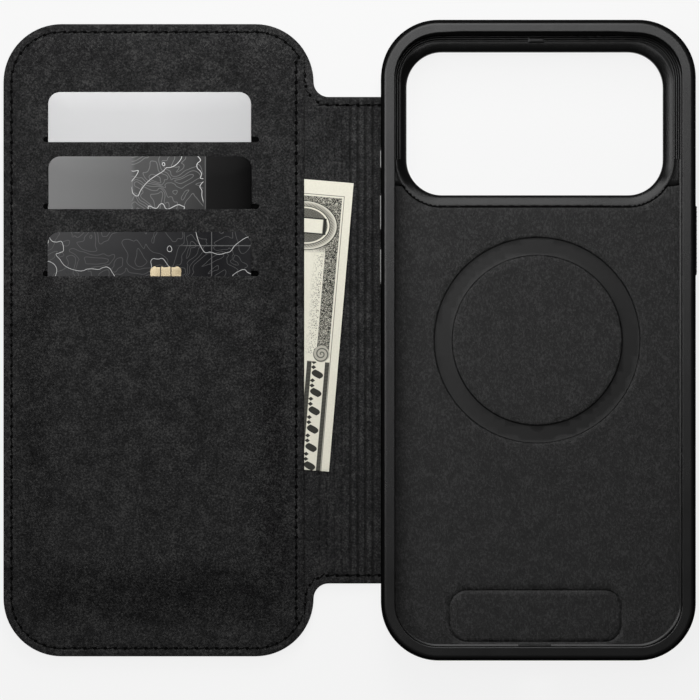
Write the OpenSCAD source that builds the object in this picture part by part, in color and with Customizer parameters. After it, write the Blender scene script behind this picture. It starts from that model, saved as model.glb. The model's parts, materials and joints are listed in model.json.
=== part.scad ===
// Phone wallet case, lying open and flat on its back.
// Bumper shell for a large phone on +X, ribbed leather spine in the middle,
// leather cover with three card pockets and a banknote pocket on -X.
// Units mm, +Z up, +X towards the shell, +Y towards the camera opening.
// Origin: centre of the bounding box at the resting plane.

/* [Phone and bumper] */
// Width of the bumper over its outer faces (X)
shell_w = 83.2; // [70:0.1:95]
// Length of the bumper over its outer faces (Y)
shell_l = 169.4; // [140:0.1:190]
// Height of the bumper from the resting plane to the lip
shell_h = 12.75; // [9:0.05:18]
// Outer corner radius of the bumper in plan
shell_r = 15.2; // [8:0.1:25]
// Wall thickness of the bumper along its long sides
wall_side = 2.4; // [1.6:0.1:4]
// Width of the lip from the outer face to its inner edge
lip_w = 3.75; // [2.6:0.05:6]
// Thickness of the lip over the phone
lip_t = 1.3; // [0.8:0.05:2.5]
// Thickness of the phone that the bay holds
phone_t = 8.75; // [7:0.05:11]

/* [Camera opening] */
// Width of the camera opening (X)
cam_w = 68.3; // [20:0.1:74]
// Length of the camera opening (Y)
cam_l = 38.1; // [20:0.1:60]
// Distance from the bumper's top face to the opening
cam_top = 8.0; // [5:0.1:15]
// Offset of the opening's centre from the bumper's centre (X)
cam_dx = -0.6; // [-4:0.1:4]
// Corner radius of the camera opening
cam_r = 9.4; // [3:0.1:14]
// Width of the plastic band below the opening
band_w = 3.3; // [1.5:0.1:6]

/* [Magnets and tag] */
// Outer radius of the magnet ring
ring_ro = 27.4; // [20:0.1:30]
// Inner radius of the magnet ring
ring_ri = 22.6; // [15:0.1:27]
// Number of arc magnets in the ring
ring_n = 18; // [8:1:36]
// Width of the tag inlay (X)
tag_w = 45.7; // [20:0.1:60]
// Length of the tag inlay (Y)
tag_l = 13.7; // [8:0.1:30]
// Distance from the bumper's bottom face to the tag inlay
tag_y = 4.4; // [3:0.1:20]

/* [Spine] */
// Visible width of the spine between cover and bumper
spine_w = 17.9; // [12:0.1:30]
// Length of the spine (Y)
spine_l = 129.6; // [100:0.1:150]
// Radius of the concave corners where the spine meets the cover
fillet_r = 4; // [1:0.1:8]
// Number of grooves along the spine
rib_n = 8; // [0:1:12]
// Distance between the grooves
rib_pitch = 2.0; // [1.2:0.05:3]

/* [Cover] */
// Width of the cover (X)
cover_w = 82.4; // [70:0.1:95]
// Length of the cover (Y)
cover_l = 168; // [140:0.1:190]
// Corner radius of the cover
cover_r = 15.5; // [6:0.1:25]
// Thickness of the outer leather
leather_t = 1.0; // [0.6:0.05:1.6]
// Distance of the seam from the edge
seam_in = 2.15; // [1.5:0.05:4]
// Distance from the cover's inner edge to the card panel's free edge
panel_gap = 2.5; // [1:0.1:6]

/* [Cards and pockets] */
// Width of a card (short side)
card_w = 53.98; // [50:0.01:60]
// Length of a card (long side)
card_l = 85.6; // [80:0.01:92]
// Thickness of a card
card_t = 0.76; // [0.5:0.01:1]
// Corner radius of a card
card_r = 3.18; // [2:0.01:5]
// Width of a card slot
slot_w = 57.4; // [55:0.1:64]
// Height of a card slot
slot_h = 1.35; // [0.8:0.05:2.5]
// Distance between the slots
slot_pitch = 17.85; // [10:0.05:22]
// Position of the top slot above the middle of the cover
slot_top = 52.7; // [40:0.1:60]
// Thickness of the pocket leather and of its lining
ply_t = 0.35; // [0.2:0.05:0.6]
// Clearance over and under a card
card_gap = 0.08; // [0.04:0.01:0.2]

/* [Banknote] */
// Length of the folded note (its long side now)
note_l = 77; // [60:0.5:90]
// Width of the folded note
note_w = 66.3; // [50:0.1:80]
// Angle at which the note leans
note_a = 4.9; // [0:0.1:12]

/* [Buttons] */
// How far a button stands out of the bumper
key_out = 0.5; // [0.3:0.05:1]
// Height of a button (Z)
key_h = 3.4; // [2:0.1:5]
// Travel of a button
key_travel = 0.4; // [0.2:0.05:0.6]
// Clearance around a button
key_gap = 0.15; // [0.1:0.05:0.3]

/* [Hidden] */
$fn = 64;
eps = 0.01;
total_w = cover_w + spine_w + shell_w + key_out;
cover_x0 = -total_w / 2;
cover_x1 = cover_x0 + cover_w;
shell_x0 = cover_x1 + spine_w;
shell_x1 = shell_x0 + shell_w;
shell_cx = (shell_x0 + shell_x1) / 2;
cover_cx = (cover_x0 + cover_x1) / 2;
wall_end = wall_side + 0.4;
plate_t = 1.2;
lining_t = 0.5;
plate_top = leather_t + plate_t;
floor_z = plate_top + lining_t;
lip_z = floor_z + phone_t;
lip_round = 1.05;
rim_z = 0.25;
rim_w = 1.2;
bay_w = shell_w - 2 * wall_side;
bay_l = shell_l - 2 * wall_end;
bay_r = shell_r - wall_side;
mouth_w = shell_w - 2 * lip_w;
mouth_l = shell_l - 2 * lip_w;
mouth_r = shell_r - lip_w;
cam_cx = shell_cx + cam_dx;
cam_cy = shell_l / 2 - cam_top - cam_l / 2;
frame_top = cam_cy + cam_l / 2 + 4.2;
frame_bot = cam_cy - cam_l / 2 - band_w;
frame_w = cam_w + 2 * band_w;
frame_r = cam_r + band_w;
tip_y = frame_bot + 6.2;
cut_gap = 2.2;
// spine and folds
fold_z = 2.3;
fold_gap = 0.15;
fold_a = shell_x0 - 1.0;
fold_b = cover_x1 + 1.1;
spine_lin_t = 0.9;
spine_top = leather_t + spine_lin_t;
tongue_l = spine_l + 1;
rib_x0 = cover_x1 + 1.8;
rib_r = 0.62;
// cover layers
stiff_t = 0.7;
turn_w = 3.4;
cov_lin_z = leather_t + stiff_t;
cov_top = cov_lin_z + ply_t;
note_t = 0.2;
note_z = cov_top + 0.05;
panel_z = cov_top + ply_t;
panel_x1 = cover_x1 - panel_gap;
hem_w = 3.6;
step = ply_t + card_t + 2 * card_gap;
c1_z = panel_z + ply_t + card_gap;
c2_z = c1_z + step;
c3_z = c2_z + step;
roof_1 = c1_z + card_t + card_gap;
roof_2 = roof_1 + step;
roof_3 = roof_2 + step;
slot_x0 = cover_cx - slot_w / 2 - 2.0;
slot_x1 = slot_x0 + slot_w;
card_x0 = slot_x0 + 1.3;
tier_x0 = slot_x0 - 0.8;
tier_x1 = slot_x1 + 0.8;
slot_1 = slot_top;
slot_2 = slot_top - slot_pitch;
slot_3 = slot_top - 2 * slot_pitch;
c1_top = slot_1 + 13.3;
c2_top = slot_2 + 14.0;
c3_top = slot_3 + 11.7;
pocket_end = card_l - c3_top + 1.1;
card_nudge = 0.15;
chip_w = 8.3;
chip_l = 10.6;
chip_drop = 9.1;
note_cx = panel_x1 + 10.0 - note_w / 2;
note_cy = 6.25;
thread_w = 0.6;
thread_t = 0.06;
// buttons
key_z = floor_z + phone_t / 2;
act_y = 47.95;
act_l = 6.5;
up_y = 33.75;
up_l = 10.8;
dn_y = 19.43;
dn_l = 10.85;
side_y = 26.4;
side_l = 18.6;
flange_in = 1.1;
flange_t = 0.5;
flange_o = 0.5;
groove_p = 1.17;
port_w = 8.7;
port_h = 5.4;
port_cx = shell_cx - 0.65;
notch_w = 4.6;
notch_cx = shell_cx - 1.1;

// ---------- plan shapes ----------

module rrect(w, l, r) {
  square([w - 2 * r, l], center = true);
  square([w, l - 2 * r], center = true);
  for (sx = [-1, 1])
    for (sy = [-1, 1])
      translate([sx * (w / 2 - r), sy * (l / 2 - r)])
        circle(r = r);
}

// the flat outline of cover and spine together, shrunk by d at its edges
module hide_outline(d = 0) {
  translate([cover_cx, 0])
    rrect(cover_w - 2 * d, cover_l - 2 * d, cover_r - d);
  span = shell_x0 + 3.5 - (cover_x1 - 6);
  translate([cover_x1 - 6 + span / 2, 0])
    square([span, spine_l - 2 * d], center = true);
  for (s = [-1, 1])
    difference() {
      translate([cover_x1 - d - 0.5, s > 0 ? spine_l / 2 - d - 0.5 : -spine_l / 2 + d - fillet_r])
        square([fillet_r + 0.5, fillet_r + 0.5]);
      translate([cover_x1 + fillet_r, s * (spine_l / 2 + fillet_r)])
        circle(r = fillet_r + d);
    }
}

module band_x(x0, x1) {
  translate([x0, -cover_l])
    square([x1 - x0, 2 * cover_l]);
}

module hide_part(x0, x1, d = 0) {
  intersection() {
    hide_outline(d);
    band_x(x0, x1);
  }
}

module slab(z0, z1) {
  translate([0, 0, z0])
    linear_extrude(height = z1 - z0)
      children();
}

// ---------- shell ----------

// section of the bumper: x outwards from the corner centre, y up
module bumper_section(r, wall, lip) {
  difference() {
    union() {
      // wall with a rounded outer top edge
      translate([r - wall, 1.6])
        square([wall, shell_h - 1.6 - lip_round]);
      translate([r - lip, shell_h - lip_t])
        square([lip - lip_round, lip_t]);
      translate([r - lip_round, shell_h - lip_round])
        circle(r = lip_round);
      // foot with a rounded outer bottom edge
      translate([r - wall, leather_t])
        square([wall - 1.4, 1]);
      translate([r - 1.4, 1.65])
        circle(r = 1.4);
    }
    translate([r - wall - 2, leather_t - 3])
      square([wall + 2 - rim_w, 3]);
    translate([r - wall - 2, 0])
      square([2, shell_h - lip_t]);
    // fine line round the inner wall
    translate([r - wall, lip_z - 2.6])
      circle(r = 0.22, $fn = 24);
  }
}

module bumper_quarter_sweep() {
  hx = shell_w / 2 - shell_r;
  hy = shell_l / 2 - shell_r;
  for (s = [0, 1])
    rotate([0, 0, 180 * s]) {
      translate([hx, hy, 0])
        rotate_extrude(angle = 90)
          bumper_section(shell_r, wall_side, lip_w);
      translate([-hx, hy, 0])
        rotate([0, 0, 90])
          rotate_extrude(angle = 90)
            bumper_section(shell_r, wall_side, lip_w);
      translate([hx, hy, 0])
        rotate([90, 0, 0])
          linear_extrude(height = 2 * hy)
            bumper_section(shell_r, wall_side, lip_w);
      translate([-hx, hy, 0])
        rotate([90, 0, 90])
          linear_extrude(height = 2 * hx)
            bumper_section(shell_r, wall_side, lip_w);
    }
}

// window for a button in a side wall; s = -1 left wall, 1 right wall
module key_window(y, l, s) {
  face = s * shell_w / 2;
  translate([shell_cx + face - s * wall_side, y, key_z])
    cube([wall_side * 2 + 1, l + 2 * key_gap, key_h + 2 * key_gap], center = true);
  f = flange_in - key_gap;
  translate([shell_cx + face - s * (f + (wall_side - f + 0.4) / 2), y, key_z])
    cube([wall_side - f + 0.4, l + 2 * flange_o + 2 * key_gap,
      key_h + 2 * flange_o + 2 * key_gap], center = true);
}

module shell_bumper() {
  color([0.12, 0.12, 0.13])
  difference() {
    translate([shell_cx, 0, 0])
      bumper_quarter_sweep();
    // recess for the leather tongue of the spine
    translate([shell_x0 - 1, -tongue_l / 2, -1])
      cube([wall_side + 1.2, tongue_l, 1 + spine_top + 0.05]);
    // buttons
    key_window(act_y, act_l, -1);
    key_window(up_y, up_l, -1);
    key_window(dn_y, dn_l, -1);
    key_window(side_y, side_l, 1);
    // charging port and speaker slots in the lower wall
    translate([port_cx, -shell_l / 2, key_z - 0.4])
      cube([port_w, 8, port_h], center = true);
    for (s = [-1, 1])
      translate([shell_cx + s * 19, -shell_l / 2, key_z - 0.4]) {
        cube([11, 8, 1.8], center = true);
        for (e = [-1, 1])
          translate([e * 5.5, 0, 0])
            rotate([90, 0, 0])
              cylinder(h = 8, r = 0.9, center = true);
      }
    // microphone notch inside the upper wall
    translate([notch_cx, shell_l / 2 - wall_end, key_z])
      cube([notch_w, 2.4, 5], center = true);
  }
}

module plate_plan() {
  translate([shell_cx, 0])
    rrect(bay_w, shell_l - 2 * wall_side, bay_r);
}

module back_plate() {
  color([0.2, 0.2, 0.22])
  difference() {
    slab(leather_t, plate_top)
      difference() {
        plate_plan();
        translate([cam_cx, cam_cy])
          rrect(cam_w + 2 * cut_gap, cam_l + 2 * cut_gap, cam_r + cut_gap);
      }
    // groove for the magnets
    translate([shell_cx, 0, plate_top - 0.65])
      linear_extrude(height = 2)
        difference() {
          circle(r = ring_ro + 0.1);
          circle(r = ring_ri - 0.1);
        }
    // pocket for the tag
    slab(plate_top - 0.3, plate_top + 1)
      tag_plan(0.1);
    // relief beside the tongue
    translate([shell_x0 - 1, -tongue_l / 2, -1])
      cube([wall_side + 1.2, tongue_l, 1 + spine_top + 0.05]);
  }
}

module frame_plan() {
  // rounded frame round the opening, and the strip above the lining's tips
  translate([cam_cx, (frame_top + frame_bot) / 2])
    rrect(frame_w, frame_top - frame_bot, frame_r);
  intersection() {
    plate_plan();
    translate([shell_cx - shell_w, tip_y])
      square([2 * shell_w, shell_l]);
  }
}

module camera_surround() {
  color([0.09, 0.09, 0.1])
  difference() {
    union() {
      slab(plate_top, floor_z)
        frame_plan();
      slab(0.05, plate_top)
        translate([cam_cx, cam_cy])
          rrect(cam_w + 2 * cut_gap, cam_l + 2 * cut_gap, cam_r + cut_gap);
    }
    slab(-1, floor_z + 1)
      translate([cam_cx, cam_cy])
        rrect(cam_w, cam_l, cam_r);
    // lowered slope round the opening on the inside
    slab(floor_z - 0.35, floor_z + 1)
      translate([cam_cx, cam_cy])
        rrect(cam_w + 3, cam_l + 3, cam_r + 1.5);
  }
}

module tag_plan(g = 0) {
  translate([shell_cx - 0.35, -shell_l / 2 + tag_y + tag_l / 2])
    rrect(tag_w + 2 * g, tag_l + 2 * g, 4.6 + g);
}

module shell_lining() {
  color([0.17, 0.17, 0.17])
  difference() {
    slab(plate_top, floor_z)
      difference() {
        plate_plan();
        frame_plan();
      }
    // debossed ring
    translate([shell_cx, 0, floor_z - 0.25])
      linear_extrude(height = 1)
        difference() {
          circle(r = ring_ro);
          circle(r = ring_ri);
        }
    // outline over the tag
    slab(floor_z - 0.25, floor_z + 1)
      difference() {
        tag_plan(0);
        tag_plan(-0.5);
      }
  }
}

module magnet_ring() {
  pitch = 360 / ring_n;
  color([0.75, 0.75, 0.78])
  for (i = [0 : ring_n - 1])
    translate([shell_cx, 0, plate_top - 0.65])
      rotate([0, 0, i * pitch + 0.6])
        rotate_extrude(angle = pitch - 1.2)
          translate([ring_ri, 0])
            square([ring_ro - ring_ri, 0.65]);
}

module nfc_tag() {
  color([0.75, 0.45, 0.2])
  slab(plate_top - 0.3, plate_top)
    tag_plan(0);
}

module back_leather() {
  color([0.13, 0.13, 0.14])
  slab(0, leather_t)
    difference() {
      union() {
        translate([shell_cx, 0])
          rrect(shell_w - 2 * rim_w - 0.1, shell_l - 2 * rim_w - 0.1, shell_r - rim_w);
        translate([fold_a + fold_gap, -spine_l / 2])
          square([10, spine_l]);
      }
      translate([cam_cx, cam_cy])
        rrect(cam_w + 2 * cut_gap, cam_l + 2 * cut_gap, cam_r + cut_gap);
    }
}

// ---------- buttons ----------

module key_body(y, l, s, ribbed = false) {
  face = shell_cx + s * shell_w / 2;
  color([0.1, 0.1, 0.11])
  difference() {
    union() {
      // cap
      translate([face - s * (flange_in - key_out) / 2, y, key_z])
        rotate([0, 90, 0])
          linear_extrude(height = flange_in + key_out, center = true)
            rrect(key_h, l, min(1.2, key_h / 2 - 0.2));
      // flange behind the wall
      translate([face - s * (flange_in + flange_t / 2), y, key_z])
        cube([flange_t, l + 2 * flange_o, key_h + 2 * flange_o], center = true);
    }
    if (ribbed)
      for (i = [-7 : 7])
        translate([face + s * (key_out + 0.05), y + i * groove_p, key_z])
          cube([0.45, 0.35, key_h + 1], center = true);
  }
}

module action_button() {
  key_body(act_y, act_l, -1);
}

module volume_up_button() {
  key_body(up_y, up_l, -1);
}

module volume_down_button() {
  key_body(dn_y, dn_l, -1);
}

module side_button() {
  key_body(side_y, side_l, 1, true);
}

// ---------- spine ----------

module spine_leather() {
  color([0.13, 0.13, 0.14])
  slab(0, leather_t)
    hide_part(fold_b + fold_gap, fold_a - fold_gap);
}

module spine_lining() {
  color([0.15, 0.15, 0.16])
  difference() {
    slab(leather_t, spine_top)
      hide_part(fold_b + fold_gap, fold_a - fold_gap);
    if (rib_n > 0)
      for (i = [0 : rib_n - 1])
        translate([rib_x0 + i * rib_pitch, 0, spine_top + 0.2])
          rotate([90, 0, 0])
            cylinder(h = cover_l, r = rib_r, center = true, $fn = 24);
  }
}

module seam_line(x0, x1) {
  intersection() {
    difference() {
      hide_outline(seam_in - thread_w / 2);
      hide_outline(seam_in + thread_w / 2);
    }
    band_x(x0, x1);
  }
}

module spine_seams() {
  color([0.05, 0.05, 0.05])
  slab(spine_top, spine_top + thread_t)
    seam_line(fold_b + fold_gap, fold_a - fold_gap);
}

// ---------- banknote ----------

module note_plan() {
  translate([note_cx, note_cy])
    rotate([0, 0, -note_a])
      square([note_w, note_l], center = true);
}

module banknote_tab() {
  color([0.85, 0.83, 0.76])
  slab(note_z, note_z + note_t)
    intersection() {
      note_plan();
      band_x(fold_b + fold_gap, fold_a - fold_gap);
    }
}

module banknote_body() {
  color([0.85, 0.83, 0.76])
  slab(note_z, note_z + note_t)
    intersection() {
      note_plan();
      band_x(cover_x0, fold_b - fold_gap);
    }
}

// ---------- cover ----------

module cover_leather() {
  color([0.13, 0.13, 0.14])
  union() {
    slab(0, leather_t)
      hide_part(cover_x0 - 1, fold_b - fold_gap);
    slab(leather_t, cov_lin_z)
      difference() {
        hide_part(cover_x0 - 1, fold_b - fold_gap);
        stiff_plan(0);
      }
  }
}

module stiff_plan(d) {
  translate([cover_cx, 0])
    rrect(cover_w - 2 * turn_w - 2 * d, cover_l - 2 * turn_w - 2 * d, cover_r - turn_w - d);
}

module cover_stiffener() {
  color([0.45, 0.42, 0.38])
  slab(leather_t, cov_lin_z)
    stiff_plan(0);
}

module cover_lining() {
  color([0.16, 0.16, 0.16])
  slab(cov_lin_z, cov_top)
    hide_part(cover_x0 - 1, fold_b - fold_gap);
}

module tier(y1, z1) {
  translate([tier_x0, -pocket_end - 0.8, panel_z])
    cube([tier_x1 - tier_x0, y1 + pocket_end + 0.8, z1 + ply_t - panel_z]);
}

module pocket(y1, z0, z1) {
  translate([slot_x0, -pocket_end, z0])
    cube([slot_w, y1 + pocket_end + eps, z1 - z0]);
}

module slot_cut(y, z) {
  translate([(slot_x0 + slot_x1) / 2, y + slot_h / 2, z - 0.05])
    linear_extrude(height = 1)
      rrect(slot_w, slot_h, slot_h / 2 - 0.01);
}

module card_panel() {
  color([0.14, 0.14, 0.15])
  difference() {
    union() {
      slab(panel_z, panel_z + ply_t)
        hide_part(cover_x0 - 1, panel_x1);
      // sewn hem that closes the note pocket on three sides
      slab(cov_top, panel_z)
        difference() {
          hide_part(cover_x0 - 1, panel_x1);
          translate([cover_x0 + hem_w, -cover_l / 2 + hem_w])
            square([cover_w, cover_l - 2 * hem_w]);
        }
      tier(slot_1, roof_1);
      tier(slot_2, roof_2);
      tier(slot_3, roof_3);
    }
    pocket(slot_1, panel_z - 0.1, roof_1);
    pocket(slot_2, panel_z - 0.1, roof_2);
    pocket(slot_3, panel_z - 0.1, roof_3);
    slot_cut(slot_1, panel_z);
    slot_cut(slot_2, roof_1);
    slot_cut(slot_3, roof_2);
  }
}

module liner(y, z) {
  translate([slot_x0, -pocket_end, z])
    cube([slot_w, y + pocket_end - eps, ply_t]);
}

module pocket_liner_top() {
  color([0.2, 0.2, 0.2])
  liner(slot_1, panel_z);
}

module pocket_liner_middle() {
  color([0.2, 0.2, 0.2])
  liner(slot_2, roof_1);
}

module pocket_liner_bottom() {
  color([0.2, 0.2, 0.2])
  liner(slot_3, roof_2);
}

module cover_seam() {
  color([0.05, 0.05, 0.05])
  union() {
    slab(panel_z + ply_t, panel_z + ply_t + thread_t)
      seam_line(cover_x0 - 1, panel_x1);
    slab(cov_top, cov_top + thread_t)
      difference() {
        seam_line(panel_x1 + 0.05, fold_b - fold_gap);
        translate([cover_x1 - seam_in - 1, -spine_l / 2 + seam_in + thread_w])
          square([seam_in + 1, spine_l - 2 * seam_in - 2 * thread_w]);
      }
  }
}

module panel_seam() {
  color([0.05, 0.05, 0.05])
  slab(panel_z + ply_t, panel_z + ply_t + thread_t)
    translate([panel_x1 - seam_in, 0])
      square([thread_w, 148], center = true);
}

// ---------- cards ----------

module card(y1, z, dx = 0) {
  translate([card_x0 + dx + card_w / 2, y1 - card_l / 2, z])
    linear_extrude(height = card_t)
      rrect(card_w, card_l, card_r);
}

module card_top() {
  color([0.8, 0.8, 0.82])
  card(c1_top, c1_z);
}

module card_middle() {
  color([0.3, 0.3, 0.32])
  card(c2_top, c2_z, card_nudge);
}

module card_bottom() {
  color([0.18, 0.18, 0.19])
  difference() {
    card(c3_top, c3_z);
    slab(c3_z + card_t - 0.1, c3_z + card_t + 1)
      chip_plan();
  }
}

module chip_plan() {
  translate([card_x0 + 31.4, c3_top - chip_drop - chip_l / 2])
    rrect(chip_w, chip_l, 2.1);
}

module chip_contact() {
  color([0.85, 0.75, 0.5])
  slab(c3_z + card_t - 0.1, c3_z + card_t)
    chip_plan();
}

shell_bumper();
back_plate();
camera_surround();
shell_lining();
magnet_ring();
nfc_tag();
back_leather();
action_button();
volume_up_button();
volume_down_button();
side_button();
spine_leather();
spine_lining();
spine_seams();
banknote_tab();
cover_leather();
cover_stiffener();
cover_lining();
card_panel();
pocket_liner_top();
pocket_liner_middle();
pocket_liner_bottom();
cover_seam();
panel_seam();
banknote_body();
card_top();
card_middle();
card_bottom();
chip_contact();
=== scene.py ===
"""Looks of an open phone wallet case: leather folio, card panel, folded note and phone tray.

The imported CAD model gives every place; lengths inside the classes are millimetres in the same frame.
"""
from __future__ import annotations

import json
import logging
import math
from dataclasses import dataclass, field
from enum import Enum
from typing import Callable, ClassVar, Sequence

import bmesh
import bpy
import numpy as np
from mathutils import Matrix, Vector, geometry

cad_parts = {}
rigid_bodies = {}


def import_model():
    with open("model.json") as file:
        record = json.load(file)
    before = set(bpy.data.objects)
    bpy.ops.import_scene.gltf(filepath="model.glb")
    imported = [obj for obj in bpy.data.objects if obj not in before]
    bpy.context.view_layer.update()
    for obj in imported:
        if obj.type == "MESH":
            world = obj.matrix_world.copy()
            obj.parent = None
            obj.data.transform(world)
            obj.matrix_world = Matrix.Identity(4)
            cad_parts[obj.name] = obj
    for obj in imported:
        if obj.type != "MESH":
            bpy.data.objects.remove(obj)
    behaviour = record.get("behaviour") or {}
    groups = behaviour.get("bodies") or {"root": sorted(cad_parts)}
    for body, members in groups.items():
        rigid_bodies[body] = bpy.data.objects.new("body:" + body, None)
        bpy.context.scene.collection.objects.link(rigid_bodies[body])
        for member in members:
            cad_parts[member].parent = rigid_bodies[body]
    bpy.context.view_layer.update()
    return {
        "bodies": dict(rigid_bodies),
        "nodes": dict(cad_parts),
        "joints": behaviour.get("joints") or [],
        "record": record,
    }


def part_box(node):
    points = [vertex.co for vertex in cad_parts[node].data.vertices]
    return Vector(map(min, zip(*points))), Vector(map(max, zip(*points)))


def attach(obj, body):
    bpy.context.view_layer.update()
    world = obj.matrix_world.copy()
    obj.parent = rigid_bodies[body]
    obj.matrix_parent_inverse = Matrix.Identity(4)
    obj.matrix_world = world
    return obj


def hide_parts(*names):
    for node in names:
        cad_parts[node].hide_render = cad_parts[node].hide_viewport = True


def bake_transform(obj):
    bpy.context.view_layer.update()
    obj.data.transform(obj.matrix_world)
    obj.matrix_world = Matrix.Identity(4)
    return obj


LOG = logging.getLogger("wallet_case")
MM = 0.001
Array = np.ndarray
Field = Callable[[Array, Array], Array]


# ---------------------------------------------------------------- plan shapes


def arc(cx: float, cy: float, r: float, a0: float, a1: float, n: int = 14) -> Array:
    """Points along a circular arc.

    Args:
        cx: Centre X.
        cy: Centre Y.
        r: Radius.
        a0: Start angle in degrees.
        a1: End angle in degrees.
        n: Number of steps.

    Returns:
        Array of n + 1 points.
    """
    a = np.radians(np.linspace(a0, a1, n + 1))
    return np.stack([cx + r * np.cos(a), cy + r * np.sin(a)], 1)


def rounded_rect(x0: float, x1: float, y0: float, y1: float, r: float, n: int = 14) -> Array:
    """Counter-clockwise rounded rectangle.

    Args:
        x0: Low X.
        x1: High X.
        y0: Low Y.
        y1: High Y.
        r: Corner radius.
        n: Steps per corner.

    Returns:
        Closed outline without its last point repeated.
    """
    return np.concatenate([
        arc(x1 - r, y1 - r, r, 0, 90, n), arc(x0 + r, y1 - r, r, 90, 180, n),
        arc(x0 + r, y0 + r, r, 180, 270, n), arc(x1 - r, y0 + r, r, 270, 360, n)])


def respace(loop: Array, step: float, closed: bool = True) -> Array:
    """Adds points so that no side of an outline is longer than a step; corners stay.

    Args:
        loop: Outline points.
        step: Longest side allowed.
        closed: Whether the last point joins the first.

    Returns:
        The finer outline.
    """
    out: list[Array] = []
    count = len(loop) if closed else len(loop) - 1
    for i in range(count):
        a, b = loop[i], loop[(i + 1) % len(loop)]
        length = float(np.hypot(*(b - a)))
        if length < 1e-6:
            continue
        k = max(1, math.ceil(length / step))
        out.extend(a + (b - a) * (j / k) for j in range(k))
    if not closed:
        out.append(loop[-1])
    return np.array(out)


def even(path: Array, step: float) -> Array:
    """An open path resampled at equal distances.

    Args:
        path: Points with two or three coordinates.
        step: Wanted distance.

    Returns:
        The resampled points.
    """
    seg = np.linalg.norm(np.diff(path, axis=0), axis=1)
    s = np.concatenate([[0.0], np.cumsum(seg)])
    t = np.linspace(0, s[-1], max(2, int(round(s[-1] / step)) + 1))
    return np.stack([np.interp(t, s, path[:, k]) for k in range(path.shape[1])], 1)


def inside(pts: Array, loop: Array) -> Array:
    """Even-odd test of points against an outline.

    Args:
        pts: Points to test.
        loop: Closed outline.

    Returns:
        Boolean array.
    """
    x, y = pts[:, 0], pts[:, 1]
    hit = np.zeros(len(pts), bool)
    for (ax, ay), (bx, by) in zip(loop, np.roll(loop, -1, 0)):
        if ay == by:
            continue
        cross = ((ay > y) != (by > y)) & (x < (bx - ax) * (y - ay) / (by - ay) + ax)
        hit ^= cross
    return hit


def gap_to(pts: Array, loop: Array, skip: Callable[[Array], Array] | None = None,
           closed: bool = True) -> Array:
    """Distance of points from an outline's sides.

    Args:
        pts: Points to measure.
        loop: Outline.
        skip: Optional test on side midpoints; sides it marks are left out.
        closed: Whether the outline closes on itself.

    Returns:
        Distances.
    """
    a = loop if closed else loop[:-1]
    b = np.roll(loop, -1, 0) if closed else loop[1:]
    if skip is not None:
        keep = ~skip((a + b) / 2)
        a, b = a[keep], b[keep]
    best = np.full(len(pts), 1e9)
    for p, q in zip(a, b):
        d = q - p
        n2 = float(d @ d)
        if n2 < 1e-12:
            continue
        t = np.clip(((pts - p) @ d) / n2, 0, 1)
        e = pts - p - t[:, None] * d
        best = np.minimum(best, e[:, 0] ** 2 + e[:, 1] ** 2)
    return np.sqrt(best)


def ring_inside(loop: Array, d: float) -> Array:
    """An outline's points moved inwards (to the left of travel) by d."""
    t = np.roll(loop, -1, 0) - np.roll(loop, 1, 0)
    t /= np.maximum(np.linalg.norm(t, axis=1), 1e-9)[:, None]
    return loop + d * np.stack([-t[:, 1], t[:, 0]], 1)


def soft(x: Array) -> Array:
    """Smooth step of x from 0 to 1."""
    t = np.clip(x, 0, 1)
    return t * t * (3 - 2 * t)


def dip(x: Array, width: float) -> Array:
    """Bell curve of a given half width."""
    return np.exp(-((x / width) ** 2))


def shoulder(d: Array, r: float) -> Array:
    """How far a rounded edge of radius r falls at a distance d from the edge."""
    u = np.clip(1 - d / r, 0, 1)
    return r * (1 - np.sqrt(np.maximum(0, 1 - u * u)))


# ---------------------------------------------------------------- mesh makers


def new_piece(name: str, verts: Array, faces: Sequence[Sequence[int]], finish: bpy.types.Material,
              smooth_deg: float = 38.0) -> bpy.types.Object:
    """Makes an object from points in millimetres.

    Args:
        name: Piece name.
        verts: Points in millimetres.
        faces: Faces by point numbers.
        finish: Material of the piece.
        smooth_deg: Edges sharper than this stay crisp.

    Returns:
        The linked object.
    """
    mesh = bpy.data.meshes.new(name)
    mesh.from_pydata((np.asarray(verts) * MM).tolist(), [], [list(f) for f in faces])
    mesh.validate()
    mesh.shade_smooth()
    mesh.set_sharp_from_angle(angle=math.radians(smooth_deg))
    mesh.materials.append(finish)
    obj = bpy.data.objects.new(name, mesh)
    bpy.context.scene.collection.objects.link(obj)
    return obj


def join_into(name: str, parts: Sequence[bpy.types.Object]) -> bpy.types.Object:
    """Joins objects into one piece.

    Args:
        name: Name of the joined piece.
        parts: Objects with meshes; the first keeps its materials' order.

    Returns:
        The joined object.
    """
    with bpy.context.temp_override(active_object=parts[0], selected_editable_objects=list(parts),
                                   selected_objects=list(parts), object=parts[0]):
        bpy.ops.object.join()
    parts[0].name = name
    parts[0].data.name = name
    return parts[0]


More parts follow.
